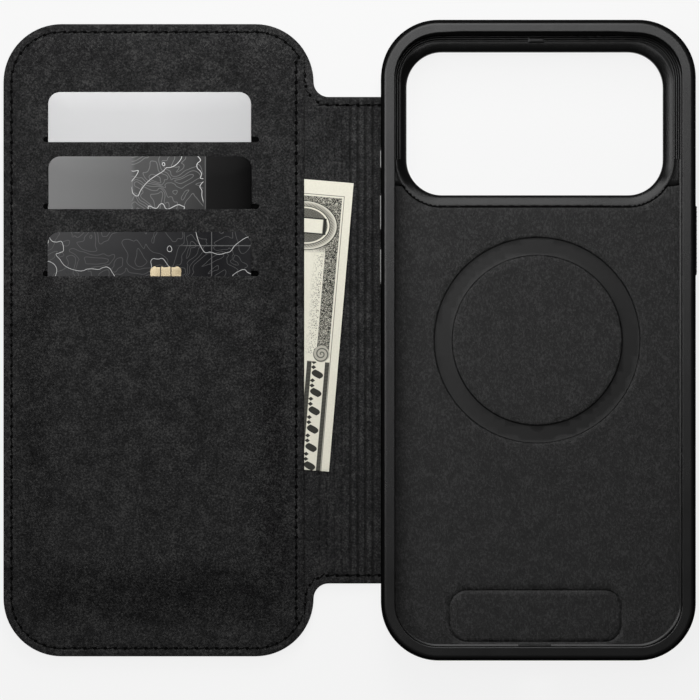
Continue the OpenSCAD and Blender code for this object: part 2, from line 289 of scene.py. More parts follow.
@dataclass
class Sheet:
    """A closed sheet cut to an outline, with a shaped upper and lower face."""

    name: str
    outline: Array
    top: Field
    bottom: Field
    holes: list[Array] = field(default_factory=list)
    xs: Array | None = None
    ys: Array | None = None
    step: float = 1.0
    round_top: float = 0.2
    round_bottom: float = 0.1
    plain_side: Callable[[Array], Array] | None = None
    extra: Array | None = None
    clear: Callable[[Array], Array] | None = None

    def points(self) -> tuple[Array, list[tuple[int, int]], list[Array]]:
        """Gathers the plan points.

        Returns:
            Points, fixed edges between them, and the boundary loops.
        """
        loops = [respace(self.outline, max(self.step, 0.8))] + [respace(h, 0.6) for h in self.holes]
        pts: list[Array] = []
        edges: list[tuple[int, int]] = []
        n = 0
        for lp in loops:
            pts.append(lp)
            edges += [(n + i, n + (i + 1) % len(lp)) for i in range(len(lp))]
            n += len(lp)
        r = max(self.round_top, self.round_bottom)
        for k, lp in enumerate(loops):
            for f in (0.12, 0.4, 1.0):
                ring = ring_inside(lp, f * r * (1 if k == 0 else -1) * 1.001)
                far = np.min([gap_to(ring, other) for other in loops], axis=0)
                pts.append(ring[far > 0.8 * f * r])
        lo, hi = loops[0].min(0), loops[0].max(0)
        xs = self.xs if self.xs is not None else np.arange(lo[0], hi[0] + self.step, self.step)
        ys = self.ys if self.ys is not None else np.arange(lo[1], hi[1] + self.step, self.step)
        gx, gy = np.meshgrid(xs, ys)
        grid = np.stack([gx.ravel(), gy.ravel()], 1)
        keep = inside(grid, loops[0])
        for lp in loops[1:]:
            keep &= ~inside(grid, lp)
        if self.clear is not None:
            keep &= ~self.clear(grid)
        grid = grid[keep]
        far = np.min([gap_to(grid, lp) for lp in loops], axis=0)
        pts.append(grid[far > r + 0.12])
        if self.extra is not None:
            pts.append(self.extra)
        return np.concatenate(pts), edges, loops

    def build(self, finish: bpy.types.Material) -> bpy.types.Object:
        """Triangulates the plan and raises both faces.

        Args:
            finish: Material of the sheet.

        Returns:
            The closed piece.
        """
        pts, edges, loops = self.points()
        res = geometry.delaunay_2d_cdt([Vector(p) for p in pts.tolist()], edges, [], 0, 1e-6)
        plan = np.array([tuple(v) for v in res[0]])
        tri = np.array([f for f in res[2] if len(f) == 3])
        mid = plan[tri].mean(1)
        ok = inside(mid, loops[0])
        for lp in loops[1:]:
            ok &= ~inside(mid, lp)
        tri = tri[ok]
        a, b, c = plan[tri[:, 0]], plan[tri[:, 1]], plan[tri[:, 2]]
        area = (b[:, 0] - a[:, 0]) * (c[:, 1] - a[:, 1]) - (b[:, 1] - a[:, 1]) * (c[:, 0] - a[:, 0])
        tri[area < 0] = tri[area < 0][:, ::-1]
        used, inv = np.unique(tri, return_inverse=True)
        plan, tri = plan[used], inv.reshape(tri.shape)
        d = gap_to(plan, loops[0], self.plain_side)
        for lp in loops[1:]:
            d = np.minimum(d, gap_to(plan, lp))
        x, y = plan[:, 0], plan[:, 1]
        zt = self.top(x, y) - shoulder(d, self.round_top)
        zb = self.bottom(x, y) + shoulder(d, self.round_bottom)
        zt = np.maximum(zt, zb + 0.02)
        n = len(plan)
        verts = np.concatenate([np.column_stack([plan, zt]), np.column_stack([plan, zb])])
        half = np.concatenate([tri[:, [0, 1]], tri[:, [1, 2]], tri[:, [2, 0]]])
        code = half[:, 0].astype(np.int64) * n + half[:, 1]
        back = half[:, 1].astype(np.int64) * n + half[:, 0]
        rim = half[~np.isin(code, back)]
        walls = [(int(q), int(p), int(p) + n, int(q) + n) for p, q in rim]
        faces = tri.tolist() + (tri[:, ::-1] + n).tolist() + walls
        return new_piece(self.name, verts, faces, finish)


def swept_ring(name: str, path: Array, profile: Array, finish: bpy.types.Material) -> bpy.types.Object:
    """Sweeps a section round a closed outline.

    Args:
        name: Piece name.
        path: Outer outline, counter-clockwise.
        profile: Section points (distance inwards, height), so that the solid lies to the left.
        finish: Material of the ring.

    Returns:
        The closed ring.
    """
    n, m = len(path), len(profile)
    t = np.roll(path, -1, 0) - np.roll(path, 1, 0)
    t /= np.linalg.norm(t, axis=1)[:, None]
    inw = np.stack([-t[:, 1], t[:, 0]], 1)
    verts = np.zeros((n * m, 3))
    for j, (r, z) in enumerate(profile):
        verts[j::m, :2] = path + inw * r
        verts[j::m, 2] = z
    faces = [(i * m + j, i * m + (j + 1) % m, ((i + 1) % n) * m + (j + 1) % m, ((i + 1) % n) * m + j)
             for i in range(n) for j in range(m)]
    return new_piece(name, verts, faces, finish, 50)


def swept_bar(name: str, path: Array, profile: Array, finish: bpy.types.Material) -> bpy.types.Object:
    """Sweeps a section along an open path and closes both ends.

    Args:
        name: Piece name.
        path: Plan path.
        profile: Section points (distance to the left, height).
        finish: Material of the bar.

    Returns:
        The closed bar.
    """
    n, m = len(path), len(profile)
    t = np.gradient(path, axis=0)
    t /= np.linalg.norm(t, axis=1)[:, None]
    left = np.stack([-t[:, 1], t[:, 0]], 1)
    verts = np.zeros((n * m, 3))
    for j, (r, z) in enumerate(profile):
        verts[j::m, :2] = path + left * r
        verts[j::m, 2] = z
    faces = [(i * m + j, i * m + (j + 1) % m, (i + 1) * m + (j + 1) % m, (i + 1) * m + j)
             for i in range(n - 1) for j in range(m)]
    faces += [tuple(range(m)), tuple((n - 1) * m + j for j in reversed(range(m)))]
    return outward(new_piece(name, verts, faces, finish, 50))


def outward(obj: bpy.types.Object) -> bpy.types.Object:
    """Turns all faces of a closed piece outwards and returns it."""
    bm = bmesh.new()
    bm.from_mesh(obj.data)
    bmesh.ops.recalc_face_normals(bm, faces=bm.faces)
    bm.to_mesh(obj.data)
    bm.free()
    return obj


def block(name: str, lo: Sequence[float], hi: Sequence[float]) -> bpy.types.Object:
    """A plain box used as a cutter; corners in millimetres."""
    x0, y0, z0 = lo
    x1, y1, z1 = hi
    v = [(x0, y0, z0), (x1, y0, z0), (x1, y1, z0), (x0, y1, z0),
         (x0, y0, z1), (x1, y0, z1), (x1, y1, z1), (x0, y1, z1)]
    f = [(3, 2, 1, 0), (4, 5, 6, 7), (0, 1, 5, 4), (1, 2, 6, 5), (2, 3, 7, 6), (3, 0, 4, 7)]
    mesh = bpy.data.meshes.new(name)
    mesh.from_pydata((np.array(v, float) * MM).tolist(), [], f)
    obj = bpy.data.objects.new(name, mesh)
    bpy.context.scene.collection.objects.link(obj)
    return obj


def carve(obj: bpy.types.Object, cutters: Sequence[bpy.types.Object]) -> bpy.types.Object:
    """Cuts each cutter out of a piece, then removes the cutters.

    Args:
        obj: Closed piece.
        cutters: Closed cutters.

    Returns:
        The same object with its new mesh.
    """
    for c in cutters:
        mod = obj.modifiers.new("cut", "BOOLEAN")
        mod.operation = "DIFFERENCE"
        mod.solver = "EXACT"
        mod.object = c
    settle(obj)
    for c in cutters:
        bpy.data.objects.remove(c)
    return obj


def settle(obj: bpy.types.Object) -> bpy.types.Object:
    """Replaces an object's mesh by its evaluated one and drops the modifiers."""
    bpy.context.view_layer.update()
    deps = bpy.context.evaluated_depsgraph_get()
    mesh = bpy.data.meshes.new_from_object(obj.evaluated_get(deps))
    obj.modifiers.clear()
    obj.data = mesh
    return obj


# ------------------------------------------------------------------- finishes


class Paint:
    """Wires one Principled material; patterns are laid out in millimetres of the piece."""

    def __init__(self, name: str, rough: float, specular: float = 0.4) -> None:
        """Starts a material.

        Args:
            name: Material name.
            rough: Base roughness.
            specular: Specular level, set on the shader's own socket.
        """
        self.mat = bpy.data.materials.new(name)
        self.mat.use_nodes = True
        self.tree = self.mat.node_tree
        self.bsdf = self.tree.nodes["Principled BSDF"]
        self.bsdf.inputs["Roughness"].default_value = rough
        self.bsdf.inputs["Specular IOR Level"].default_value = specular

    def node(self, kind: str, props: dict | None = None, **inputs: object) -> bpy.types.Node:
        """Adds a node.

        Args:
            kind: Node type without the ShaderNode prefix.
            props: Node settings.
            **inputs: Input values or sockets; i0, i1 ... name them by number.

        Returns:
            The node.
        """
        node = self.tree.nodes.new("ShaderNode" + kind)
        for key, value in (props or {}).items():
            setattr(node, key, value)
        for key, value in inputs.items():
            slot = node.inputs[int(key[1:])] if key[0] == "i" and key[1:].isdigit() else node.inputs[key]
            self.feed(slot, value)
        return node

    def feed(self, slot: bpy.types.NodeSocket, value: object) -> None:
        """Links a socket or sets a value on an input."""
        if isinstance(value, bpy.types.NodeSocket):
            self.tree.links.new(value, slot)
        else:
            slot.default_value = value

    def place(self, uv: bool = False) -> bpy.types.NodeSocket:
        """Position on the piece in millimetres, from its own coordinates or its UV map."""
        src = self.node("TexCoord").outputs["UV" if uv else "Object"]
        return self.node("VectorMath", {"operation": "SCALE"}, i0=src, Scale=1000.0).outputs[0]

    def stretch(self, at: bpy.types.NodeSocket, scale: tuple, turn: float = 0.0,
                move: tuple = (0, 0, 0)) -> bpy.types.NodeSocket:
        """Scales, turns and moves a pattern's coordinates."""
        return self.node("Mapping", i0=at, Location=move, Rotation=(0, 0, turn), Scale=scale).outputs[0]

    def noise(self, at: bpy.types.NodeSocket, size: float, detail: float = 3.0,
              rough: float = 0.55, warp: float = 0.0) -> bpy.types.NodeSocket:
        """Noise whose features are about size millimetres."""
        return self.node("TexNoise", Vector=at, Scale=1.0 / size, Detail=detail, Roughness=rough,
                         Distortion=warp).outputs["Fac"]

    def cells(self, at: bpy.types.NodeSocket, size: float, feature: str = "F1") -> bpy.types.NodeSocket:
        """Distance pattern of cells about size millimetres wide."""
        return self.node("TexVoronoi", {"feature": feature}, Vector=at,
                         Scale=1.0 / size).outputs["Distance"]

    def calc(self, op: str, a: object, b: object = 0.0, c: object = 0.0,
             clamp: bool = False) -> bpy.types.NodeSocket:
        """One Math node."""
        return self.node("Math", {"operation": op, "use_clamp": clamp}, i0=a, i1=b, i2=c).outputs[0]

    def step(self, x: object, lo: float, hi: float) -> bpy.types.NodeSocket:
        """Smooth step of x between two values."""
        return self.node("MapRange", {"interpolation_type": "SMOOTHSTEP"}, i0=x, i1=lo, i2=hi).outputs[0]

    def split(self, at: bpy.types.NodeSocket) -> tuple:
        """X and Y of a position."""
        node = self.node("SeparateXYZ", i0=at)
        return node.outputs[0], node.outputs[1]

    def tones(self, fac: object, *stops: tuple[float, tuple]) -> bpy.types.NodeSocket:
        """Colour ramp with (place, linear colour) stops."""
        node = self.node("ValToRGB", i0=fac)
        ramp = node.color_ramp
        while len(ramp.elements) < len(stops):
            ramp.elements.new(0.5)
        for el, (pos, col) in zip(ramp.elements, stops):
            el.position = pos
            el.color = (*col, 1.0)
        return node.outputs[0]

    def mix(self, fac: object, a: object, b: object, how: str = "MIX") -> bpy.types.NodeSocket:
        """Mixes two colours."""
        node = self.node("Mix", {"data_type": "RGBA", "blend_type": how}, i0=fac)
        for k, v in ((6, a), (7, b)):
            self.feed(node.inputs[k], (*v, 1.0) if isinstance(v, tuple) and len(v) == 3 else v)
        return node.outputs[2]

    def finish(self, color: object, height: object = None, depth: float = 0.02, rough: object = None,
               strength: float = 1.0) -> bpy.types.Material:
        """Connects colour, relief and roughness.

        Args:
            color: Colour socket.
            height: Relief socket from 0 to 1.
            depth: Relief depth in millimetres.
            rough: Roughness socket.
            strength: Share of the relief that shows.

        Returns:
            The material.
        """
        self.feed(self.bsdf.inputs["Base Color"], color)
        if height is not None:
            node = self.node("Bump", Strength=strength, Distance=depth * MM, Height=height)
            self.feed(self.bsdf.inputs["Normal"], node.outputs[0])
        if rough is not None:
            self.feed(self.bsdf.inputs["Roughness"], rough)
        return self.mat


@dataclass(frozen=True)
class Leather:
    """Matt fine-grained leather with a faint nap, painted glints on its grain, and painted shade in the
    creases where it has ribs.
    """

    name: str
    tone: float = 0.0138
    grain: float = 0.42
    depth: float = 0.05
    cloud: float = 0.3
    ribs: tuple[float, float, int] = (0.0, 1.0, 0)

    def crease_shade(self, p: Paint, at: bpy.types.NodeSocket) -> bpy.types.NodeSocket:
        """Mask of the painted shade in the creases between ribs that run along Y."""
        first, pitch, count = self.ribs
        x, _ = p.split(at)
        place = p.calc("DIVIDE", p.calc("SUBTRACT", x, first), pitch)
        off = p.calc("ABSOLUTE", p.calc("SUBTRACT", p.calc("FRACT", p.calc("ADD", place, 0.5)), 0.5))
        ends = p.calc("MULTIPLY", p.step(place, -0.4, -0.2), p.step(place, count - 0.6, count - 0.8))
        return p.calc("MULTIPLY", p.step(off, 0.3, 0.06), ends)

    def make(self) -> bpy.types.Material:
        """Builds the material."""
        p = Paint(self.name, 0.6, 0.08)
        at = p.place()
        pebble = p.cells(at, self.grain)
        fine = p.noise(at, 0.2, 2.0, 0.6)
        nap = p.noise(at, 0.5, 3.0, 0.75)
        cloud = p.noise(at, 7.0, 4.0, 0.6)
        patch = p.noise(at, 1.9, 2.0, 0.5)
        mottle = p.calc("MULTIPLY_ADD", nap, 3.2, p.calc("MULTIPLY_ADD", cloud, self.cloud * 2.8,
                        p.calc("MULTIPLY_ADD", patch, 0.7, -1.92)))
        t = self.tone
        # Painted highlights: small bright spots mixed into the colour stand in for glints of light on the
        # grain.
        painted_glint = p.step(p.cells(at, 1.3), 0.13, 0.04)
        color = p.tones(mottle, (0.0, (t * 0.3, t * 0.3, t * 0.31)), (0.5, (t, t, t * 1.02)),
                        (1.0, (t * 2.9, t * 2.88, t * 2.84)))
        color = p.mix(p.calc("MULTIPLY", painted_glint, 0.5), color, (t * 6, t * 6, t * 6))
        # Painted shade: the creases between the ribs are darkened in the colour.
        if self.ribs[2]:
            color = p.mix(p.calc("MULTIPLY", self.crease_shade(p, at), 0.6), color, (t * 0.2, t * 0.2, t * 0.2))
        relief = p.calc("MULTIPLY_ADD", fine, 0.5, p.calc("MULTIPLY", pebble, -0.7))
        relief = p.calc("MULTIPLY_ADD", cloud, 0.6, relief)
        rough = p.calc("MULTIPLY_ADD", nap, 0.4, 0.36)
        return p.finish(color, relief, self.depth, rough)


@dataclass(frozen=True)
class Microfibre:
    """Short-pile microfibre with brushed swirls; the pressed ring's colour carries painted shade, lighter
    on its upper left and darker on its lower right.
    """

    name: str
    tone: float = 0.0047
    swirl: float = 7.0
    ring_x: float = 49.9
    ring_r: tuple[float, float] = (22.6, 27.4)

    def make(self) -> bpy.types.Material:
        """Builds the material."""
        p = Paint(self.name, 0.38, 0.3)
        at = p.place()
        bend = p.noise(at, self.swirl, 2.0, 0.5)
        swirl = p.node("VectorMath", {"operation": "MULTIPLY_ADD"}, i0=p.node(
            "CombineXYZ", X=bend, Y=p.noise(p.stretch(at, (1, 1, 1), 0.9), self.swirl, 2.0)).outputs[0],
            i1=(2.2, 2.2, 0.0), i2=at).outputs[0]
        fibre = p.noise(p.stretch(swirl, (1.0, 0.62, 1.0), 0.3), 0.42, 4.0, 0.75)
        speck = p.noise(at, 0.22, 2.0, 0.6)
        patch = p.noise(at, 3.4, 3.0, 0.6)
        mix = p.calc("MULTIPLY_ADD", fibre, 4.6, p.calc("MULTIPLY_ADD", patch, 1.1,
                     p.calc("MULTIPLY_ADD", speck, 1.2, -2.95)))
        t = self.tone
        color = p.tones(mix, (0.0, (t * 0.25, t * 0.25, t * 0.26)), (0.5, (t, t, t)),
                        (1.0, (t * 4.2, t * 4.2, t * 4.2)))
        x, y = p.split(at)
        dx = p.calc("SUBTRACT", x, self.ring_x)
        rad = p.calc("SQRT", p.calc("ADD", p.calc("MULTIPLY", dx, dx), p.calc("MULTIPLY", y, y)))
        band = p.calc("MULTIPLY", p.step(rad, self.ring_r[0] - 0.1, self.ring_r[0] + 0.2),
                      p.step(rad, self.ring_r[1] + 0.1, self.ring_r[1] - 0.2))
        # Painted shade on the pressed ring: its colour is lighter towards the upper left and darker towards
        # the lower right, standing in for light falling on a sloped ring.
        slope = p.calc("DIVIDE", p.calc("ADD", p.calc("MULTIPLY", dx, -0.85),
                                        p.calc("MULTIPLY", y, 0.55)), rad)
        smooth = p.tones(p.calc("MULTIPLY_ADD", slope, 0.5, 0.5),
                         (0.0, (t * 0.2,) * 3), (1.0, (t * 1.7,) * 3))
        color = p.mix(band, color, smooth)
        fibre = p.calc("MULTIPLY", fibre, p.calc("SUBTRACT", 1.0, p.calc("MULTIPLY", band, 0.85)))
        return p.finish(color, fibre, 0.09, p.calc("MULTIPLY_ADD", speck, 0.3, 0.26))


@dataclass(frozen=True)
class Polymer:
    """Moulded plastic with a fine spark-eroded texture."""

    name: str
    tone: float = 0.012
    rough: float = 0.42
    specular: float = 0.5
    grain: float = 0.1
    flank: float | None = None

    def make(self) -> bpy.types.Material:
        """Builds the material."""
        p = Paint(self.name, self.rough, self.specular)
        at = p.place()
        fine = p.noise(at, self.grain, 2.0, 0.6)
        wipe = p.noise(at, 14.0, 3.0, 0.6)
        t = self.tone
        color = p.tones(fine, (0.0, (t * 0.8, t * 0.8, t * 0.82)), (1.0, (t * 1.25, t * 1.25, t * 1.26)))
        rough = p.calc("MULTIPLY_ADD", wipe, 0.1, p.calc("MULTIPLY_ADD", fine, 0.06, self.rough - 0.08))
        if self.flank is not None:
            z = p.node("SeparateXYZ", i0=at).outputs[2]
            flat = p.step(z, self.flank - 0.12, self.flank)
            p.feed(p.bsdf.inputs["Specular IOR Level"], p.calc("MULTIPLY", flat, self.specular))
            rough = p.calc("MAXIMUM", rough, p.calc("SUBTRACT", 0.85, flat))
        return p.finish(color, fine, 0.006, rough)


@dataclass(frozen=True)
class Thread:
    """Waxed two-ply thread."""

    name: str
    tone: float = 0.0016

    def make(self) -> bpy.types.Material:
        """Builds the material."""
        p = Paint(self.name, 0.6, 0.12)
        at = p.place()
        ply = p.calc("SINE", p.calc("MULTIPLY", p.calc("ADD", *p.split(at)), 17.0))
        fuzz = p.noise(at, 0.12, 2.0)
        h = p.calc("MULTIPLY_ADD", ply, 0.35, fuzz)
        t = self.tone
        return p.finish(p.tones(h, (0.2, (t * 0.5,) * 3), (1.0, (t * 2.0,) * 3)), h, 0.05)


@dataclass(frozen=True)
class HoleShade:
    """Near-black finish that paints the shade seen in needle holes and slot ends."""

    name: str

    def make(self) -> bpy.types.Material:
        """Builds the material."""
        p = Paint(self.name, 0.95, 0.05)
        return p.finish(p.tones(p.noise(p.place(), 0.3), (0.0, (0.0008,) * 3), (1.0, (0.0022,) * 3)))


@dataclass(frozen=True)
class Metal:
    """Plated metal with fine scratches."""

    name: str
    color: tuple[float, float, float]
    rough: float = 0.3

    def make(self) -> bpy.types.Material:
        """Builds the material."""
        p = Paint(self.name, self.rough, 0.5)
        at = p.place()
        line = p.noise(p.stretch(at, (0.08, 1.0, 1.0)), 0.12, 3.0)
        r, g, b = self.color
        p.bsdf.inputs["Metallic"].default_value = 1.0
        tone = p.tones(line, (0.25, (r * 0.86, g * 0.86, b * 0.86)), (0.8, self.color))
        return p.finish(tone, line, 0.004, p.calc("MULTIPLY_ADD", line, 0.2, self.rough - 0.1))


@dataclass(frozen=True)
class Board:
    """Pressed fibre, woven lining or film used inside the layers."""

    name: str
    color: tuple[float, float, float]
    grain: float = 0.3
    rough: float = 0.8

    def make(self) -> bpy.types.Material:
        """Builds the material."""
        p = Paint(self.name, self.rough, 0.3)
        at = p.place()
        fleck = p.noise(at, self.grain, 4.0, 0.7)
        r, g, b = self.color
        return p.finish(p.tones(fleck, (0.2, (r * 0.6, g * 0.6, b * 0.6)), (0.8, self.color)), fleck, 0.03)


@dataclass(frozen=True)
class CopperCoil:
    """Film of the tag with its flat copper winding."""

    name: str
    cx: float
    cy: float
    half_w: float
    half_l: float

    def make(self) -> bpy.types.Material:
        """Builds the material."""
        p = Paint(self.name, 0.4, 0.5)
        x, y = p.split(p.place())
        ax = p.calc("SUBTRACT", self.half_w, p.calc("ABSOLUTE", p.calc("SUBTRACT", x, self.cx)))
        ay = p.calc("SUBTRACT", self.half_l, p.calc("ABSOLUTE", p.calc("SUBTRACT", y, self.cy)))
        d = p.calc("MINIMUM", ax, ay)
        turns = p.calc("GREATER_THAN", p.calc("FRACT", p.calc("MULTIPLY", d, 1.6)), 0.45)
        band = p.calc("MULTIPLY", turns, p.calc("MULTIPLY", p.step(d, 0.4, 0.5), p.step(d, 4.1, 4.0)))
        return p.finish(p.mix(band, (0.05, 0.05, 0.05), (0.42, 0.19, 0.07)), band, 0.03)


class CardLook(Enum):
    """Printed faces of the three cards."""

    PALE = "pale"
    RELIEF_MAP = "relief_map"
    DARK_MAP = "dark_map"


@dataclass(frozen=True)
class PrintedCard:
    """Satin card face with a made-up contour-line print."""

    name: str
    look: CardLook
    x0: float
    x1: float
    top: float

    def lines(self, p: Paint, at: bpy.types.NodeSocket, size: float, count: float,
              width: float, warp: float = 0.6) -> bpy.types.NodeSocket:
        """Contour lines of a noise landscape.

        Args:
            p: Material being wired.
            at: Position in millimetres.
            size: Size of the hills in millimetres.
            count: Lines from the lowest to the highest ground.
            width: Half width of a line in millimetres.
            warp: How much the hills are twisted.

        Returns:
            Line mask.
        """
        hill = p.noise(at, size, 2.0, 0.45, warp)
        slope = 0.0
        for move in ((0.12, 0, 0), (0, 0.12, 0)):
            beside = p.noise(p.stretch(at, (1, 1, 1), 0, move), size, 2.0, 0.45, warp)
            slope = p.calc("ADD", slope, p.calc("POWER", p.calc("SUBTRACT", beside, hill), 2.0))
        slope = p.calc("MULTIPLY", p.calc("SQRT", slope), count / 0.12)
        wave = p.calc("ABSOLUTE", p.calc("SUBTRACT", p.calc("FRACT", p.calc("MULTIPLY", hill, count)), 0.5))
        return p.step(p.calc("DIVIDE", wave, p.calc("MAXIMUM", slope, 0.02)), width, width * 0.4)

    def make(self) -> bpy.types.Material:
        """Builds the material."""
        p = Paint(self.name, 0.45, 0.06)
        at = p.place()
        x, y = p.split(at)
        u = p.calc("DIVIDE", p.calc("SUBTRACT", x, self.x0), self.x1 - self.x0)
        v = p.calc("SUBTRACT", self.top, y)
        if self.look is CardLook.PALE:
            base = p.tones(u, (0.0, (0.52, 0.52, 0.525)), (0.55, (0.49, 0.49, 0.495)),
                           (1.0, (0.42, 0.42, 0.425)))
            rim = self.lines(p, p.stretch(at, (1, 1, 1), 0, (7, 3, 0)), 22.0, 2.0, 0.15)
            color = p.mix(p.calc("MULTIPLY", rim, p.step(u, 0.6, 0.75)), base, (0.3, 0.3, 0.31))
        elif self.look is CardLook.RELIEF_MAP:
            base = p.tones(u, (0.0, (0.165, 0.165, 0.165)), (0.405, (0.11, 0.11, 0.11)),
                           (0.43, (0.065, 0.065, 0.065)), (0.6, (0.055, 0.055, 0.055)),
                           (0.765, (0.03, 0.03, 0.03)), (0.78, (0.006, 0.006, 0.006)),
                           (1.0, (0.0008, 0.0008, 0.0008)))
            fine = self.lines(p, at, 8.0, 13.0, 0.14)
            bold = self.lines(p, at, 11.0, 2.6, 0.12)
            zone = p.calc("MULTIPLY", p.step(u, 0.405, 0.415), p.step(u, 0.765, 0.76))
            mask = p.calc("MULTIPLY", zone, p.calc("MAXIMUM", bold, p.calc("MULTIPLY", fine, 0.17)),
                          clamp=True)
            cross = p.step(p.calc("ABSOLUTE", p.calc("SUBTRACT", u, 0.772)), 0.003, 0.001)
            mask = p.calc("MAXIMUM", mask, p.calc("MULTIPLY", cross, 0.18))
            color = p.mix(mask, base, (0.5, 0.5, 0.5))
        else:
            base = p.tones(u, (0.0, (0.042, 0.042, 0.043)), (0.5, (0.02, 0.02, 0.021)),
                           (0.8, (0.005, 0.005, 0.006)),
                           (1.0, (0.014, 0.014, 0.015)))
            fine = self.lines(p, at, 9.0, 11.0, 0.1)
            bold = self.lines(p, p.stretch(at, (1, 1, 1), 0.5, (4, 9, 0)), 13.0, 2.7, 0.1)
            mask = p.calc("MAXIMUM", bold, p.calc("MULTIPLY", fine, 0.12))
            cross = p.step(p.calc("ABSOLUTE", p.calc("SUBTRACT", u, 0.807)), 0.003, 0.001)
            rule = p.calc("MULTIPLY", p.step(p.calc("ABSOLUTE", p.calc("SUBTRACT", v, 3.6)), 0.16, 0.06),
                          p.step(u, 0.62, 0.7))
            mask = p.calc("MAXIMUM", mask, p.calc("MULTIPLY", p.calc("MAXIMUM", cross, rule), 0.2))
            color = p.mix(mask, base, (0.42, 0.42, 0.42))
        fine = p.noise(at, 0.08, 2.0)
        return p.finish(color, fine, 0.003, p.calc("MULTIPLY_ADD", fine, 0.08, 0.4))


@dataclass(frozen=True)
class ChipPlate:
    """Pale gold contact plate with engraved gaps."""

    name: str
    cx: float
    cy: float
    w: float
    l: float

    def make(self) -> bpy.types.Material:
        """Builds the material."""
        p = Paint(self.name, 0.28, 0.5)
        at = p.place()
        x, y = p.split(at)
        dx = p.calc("SUBTRACT", x, self.cx)
        dy = p.calc("SUBTRACT", y, self.cy)
        side = p.calc("ABSOLUTE", p.calc("SUBTRACT", p.calc("ABSOLUTE", dx), self.w * 0.165))
        row = p.calc("ABSOLUTE", p.calc("SUBTRACT", p.calc("ABSOLUTE", dy), self.l * 0.17))
        line = p.calc("MAXIMUM", p.step(side, 0.19, 0.1), p.step(row, 0.18, 0.1))
        grain = p.noise(at, 0.1, 2.0)
        p.bsdf.inputs["Metallic"].default_value = 0.2
        gold = p.tones(grain, (0.2, (0.4, 0.32, 0.19)), (0.9, (0.5, 0.41, 0.26)))
        return p.finish(p.mix(line, gold, (0.05, 0.035, 0.02)), p.calc("SUBTRACT", 1.0, line), 0.04)


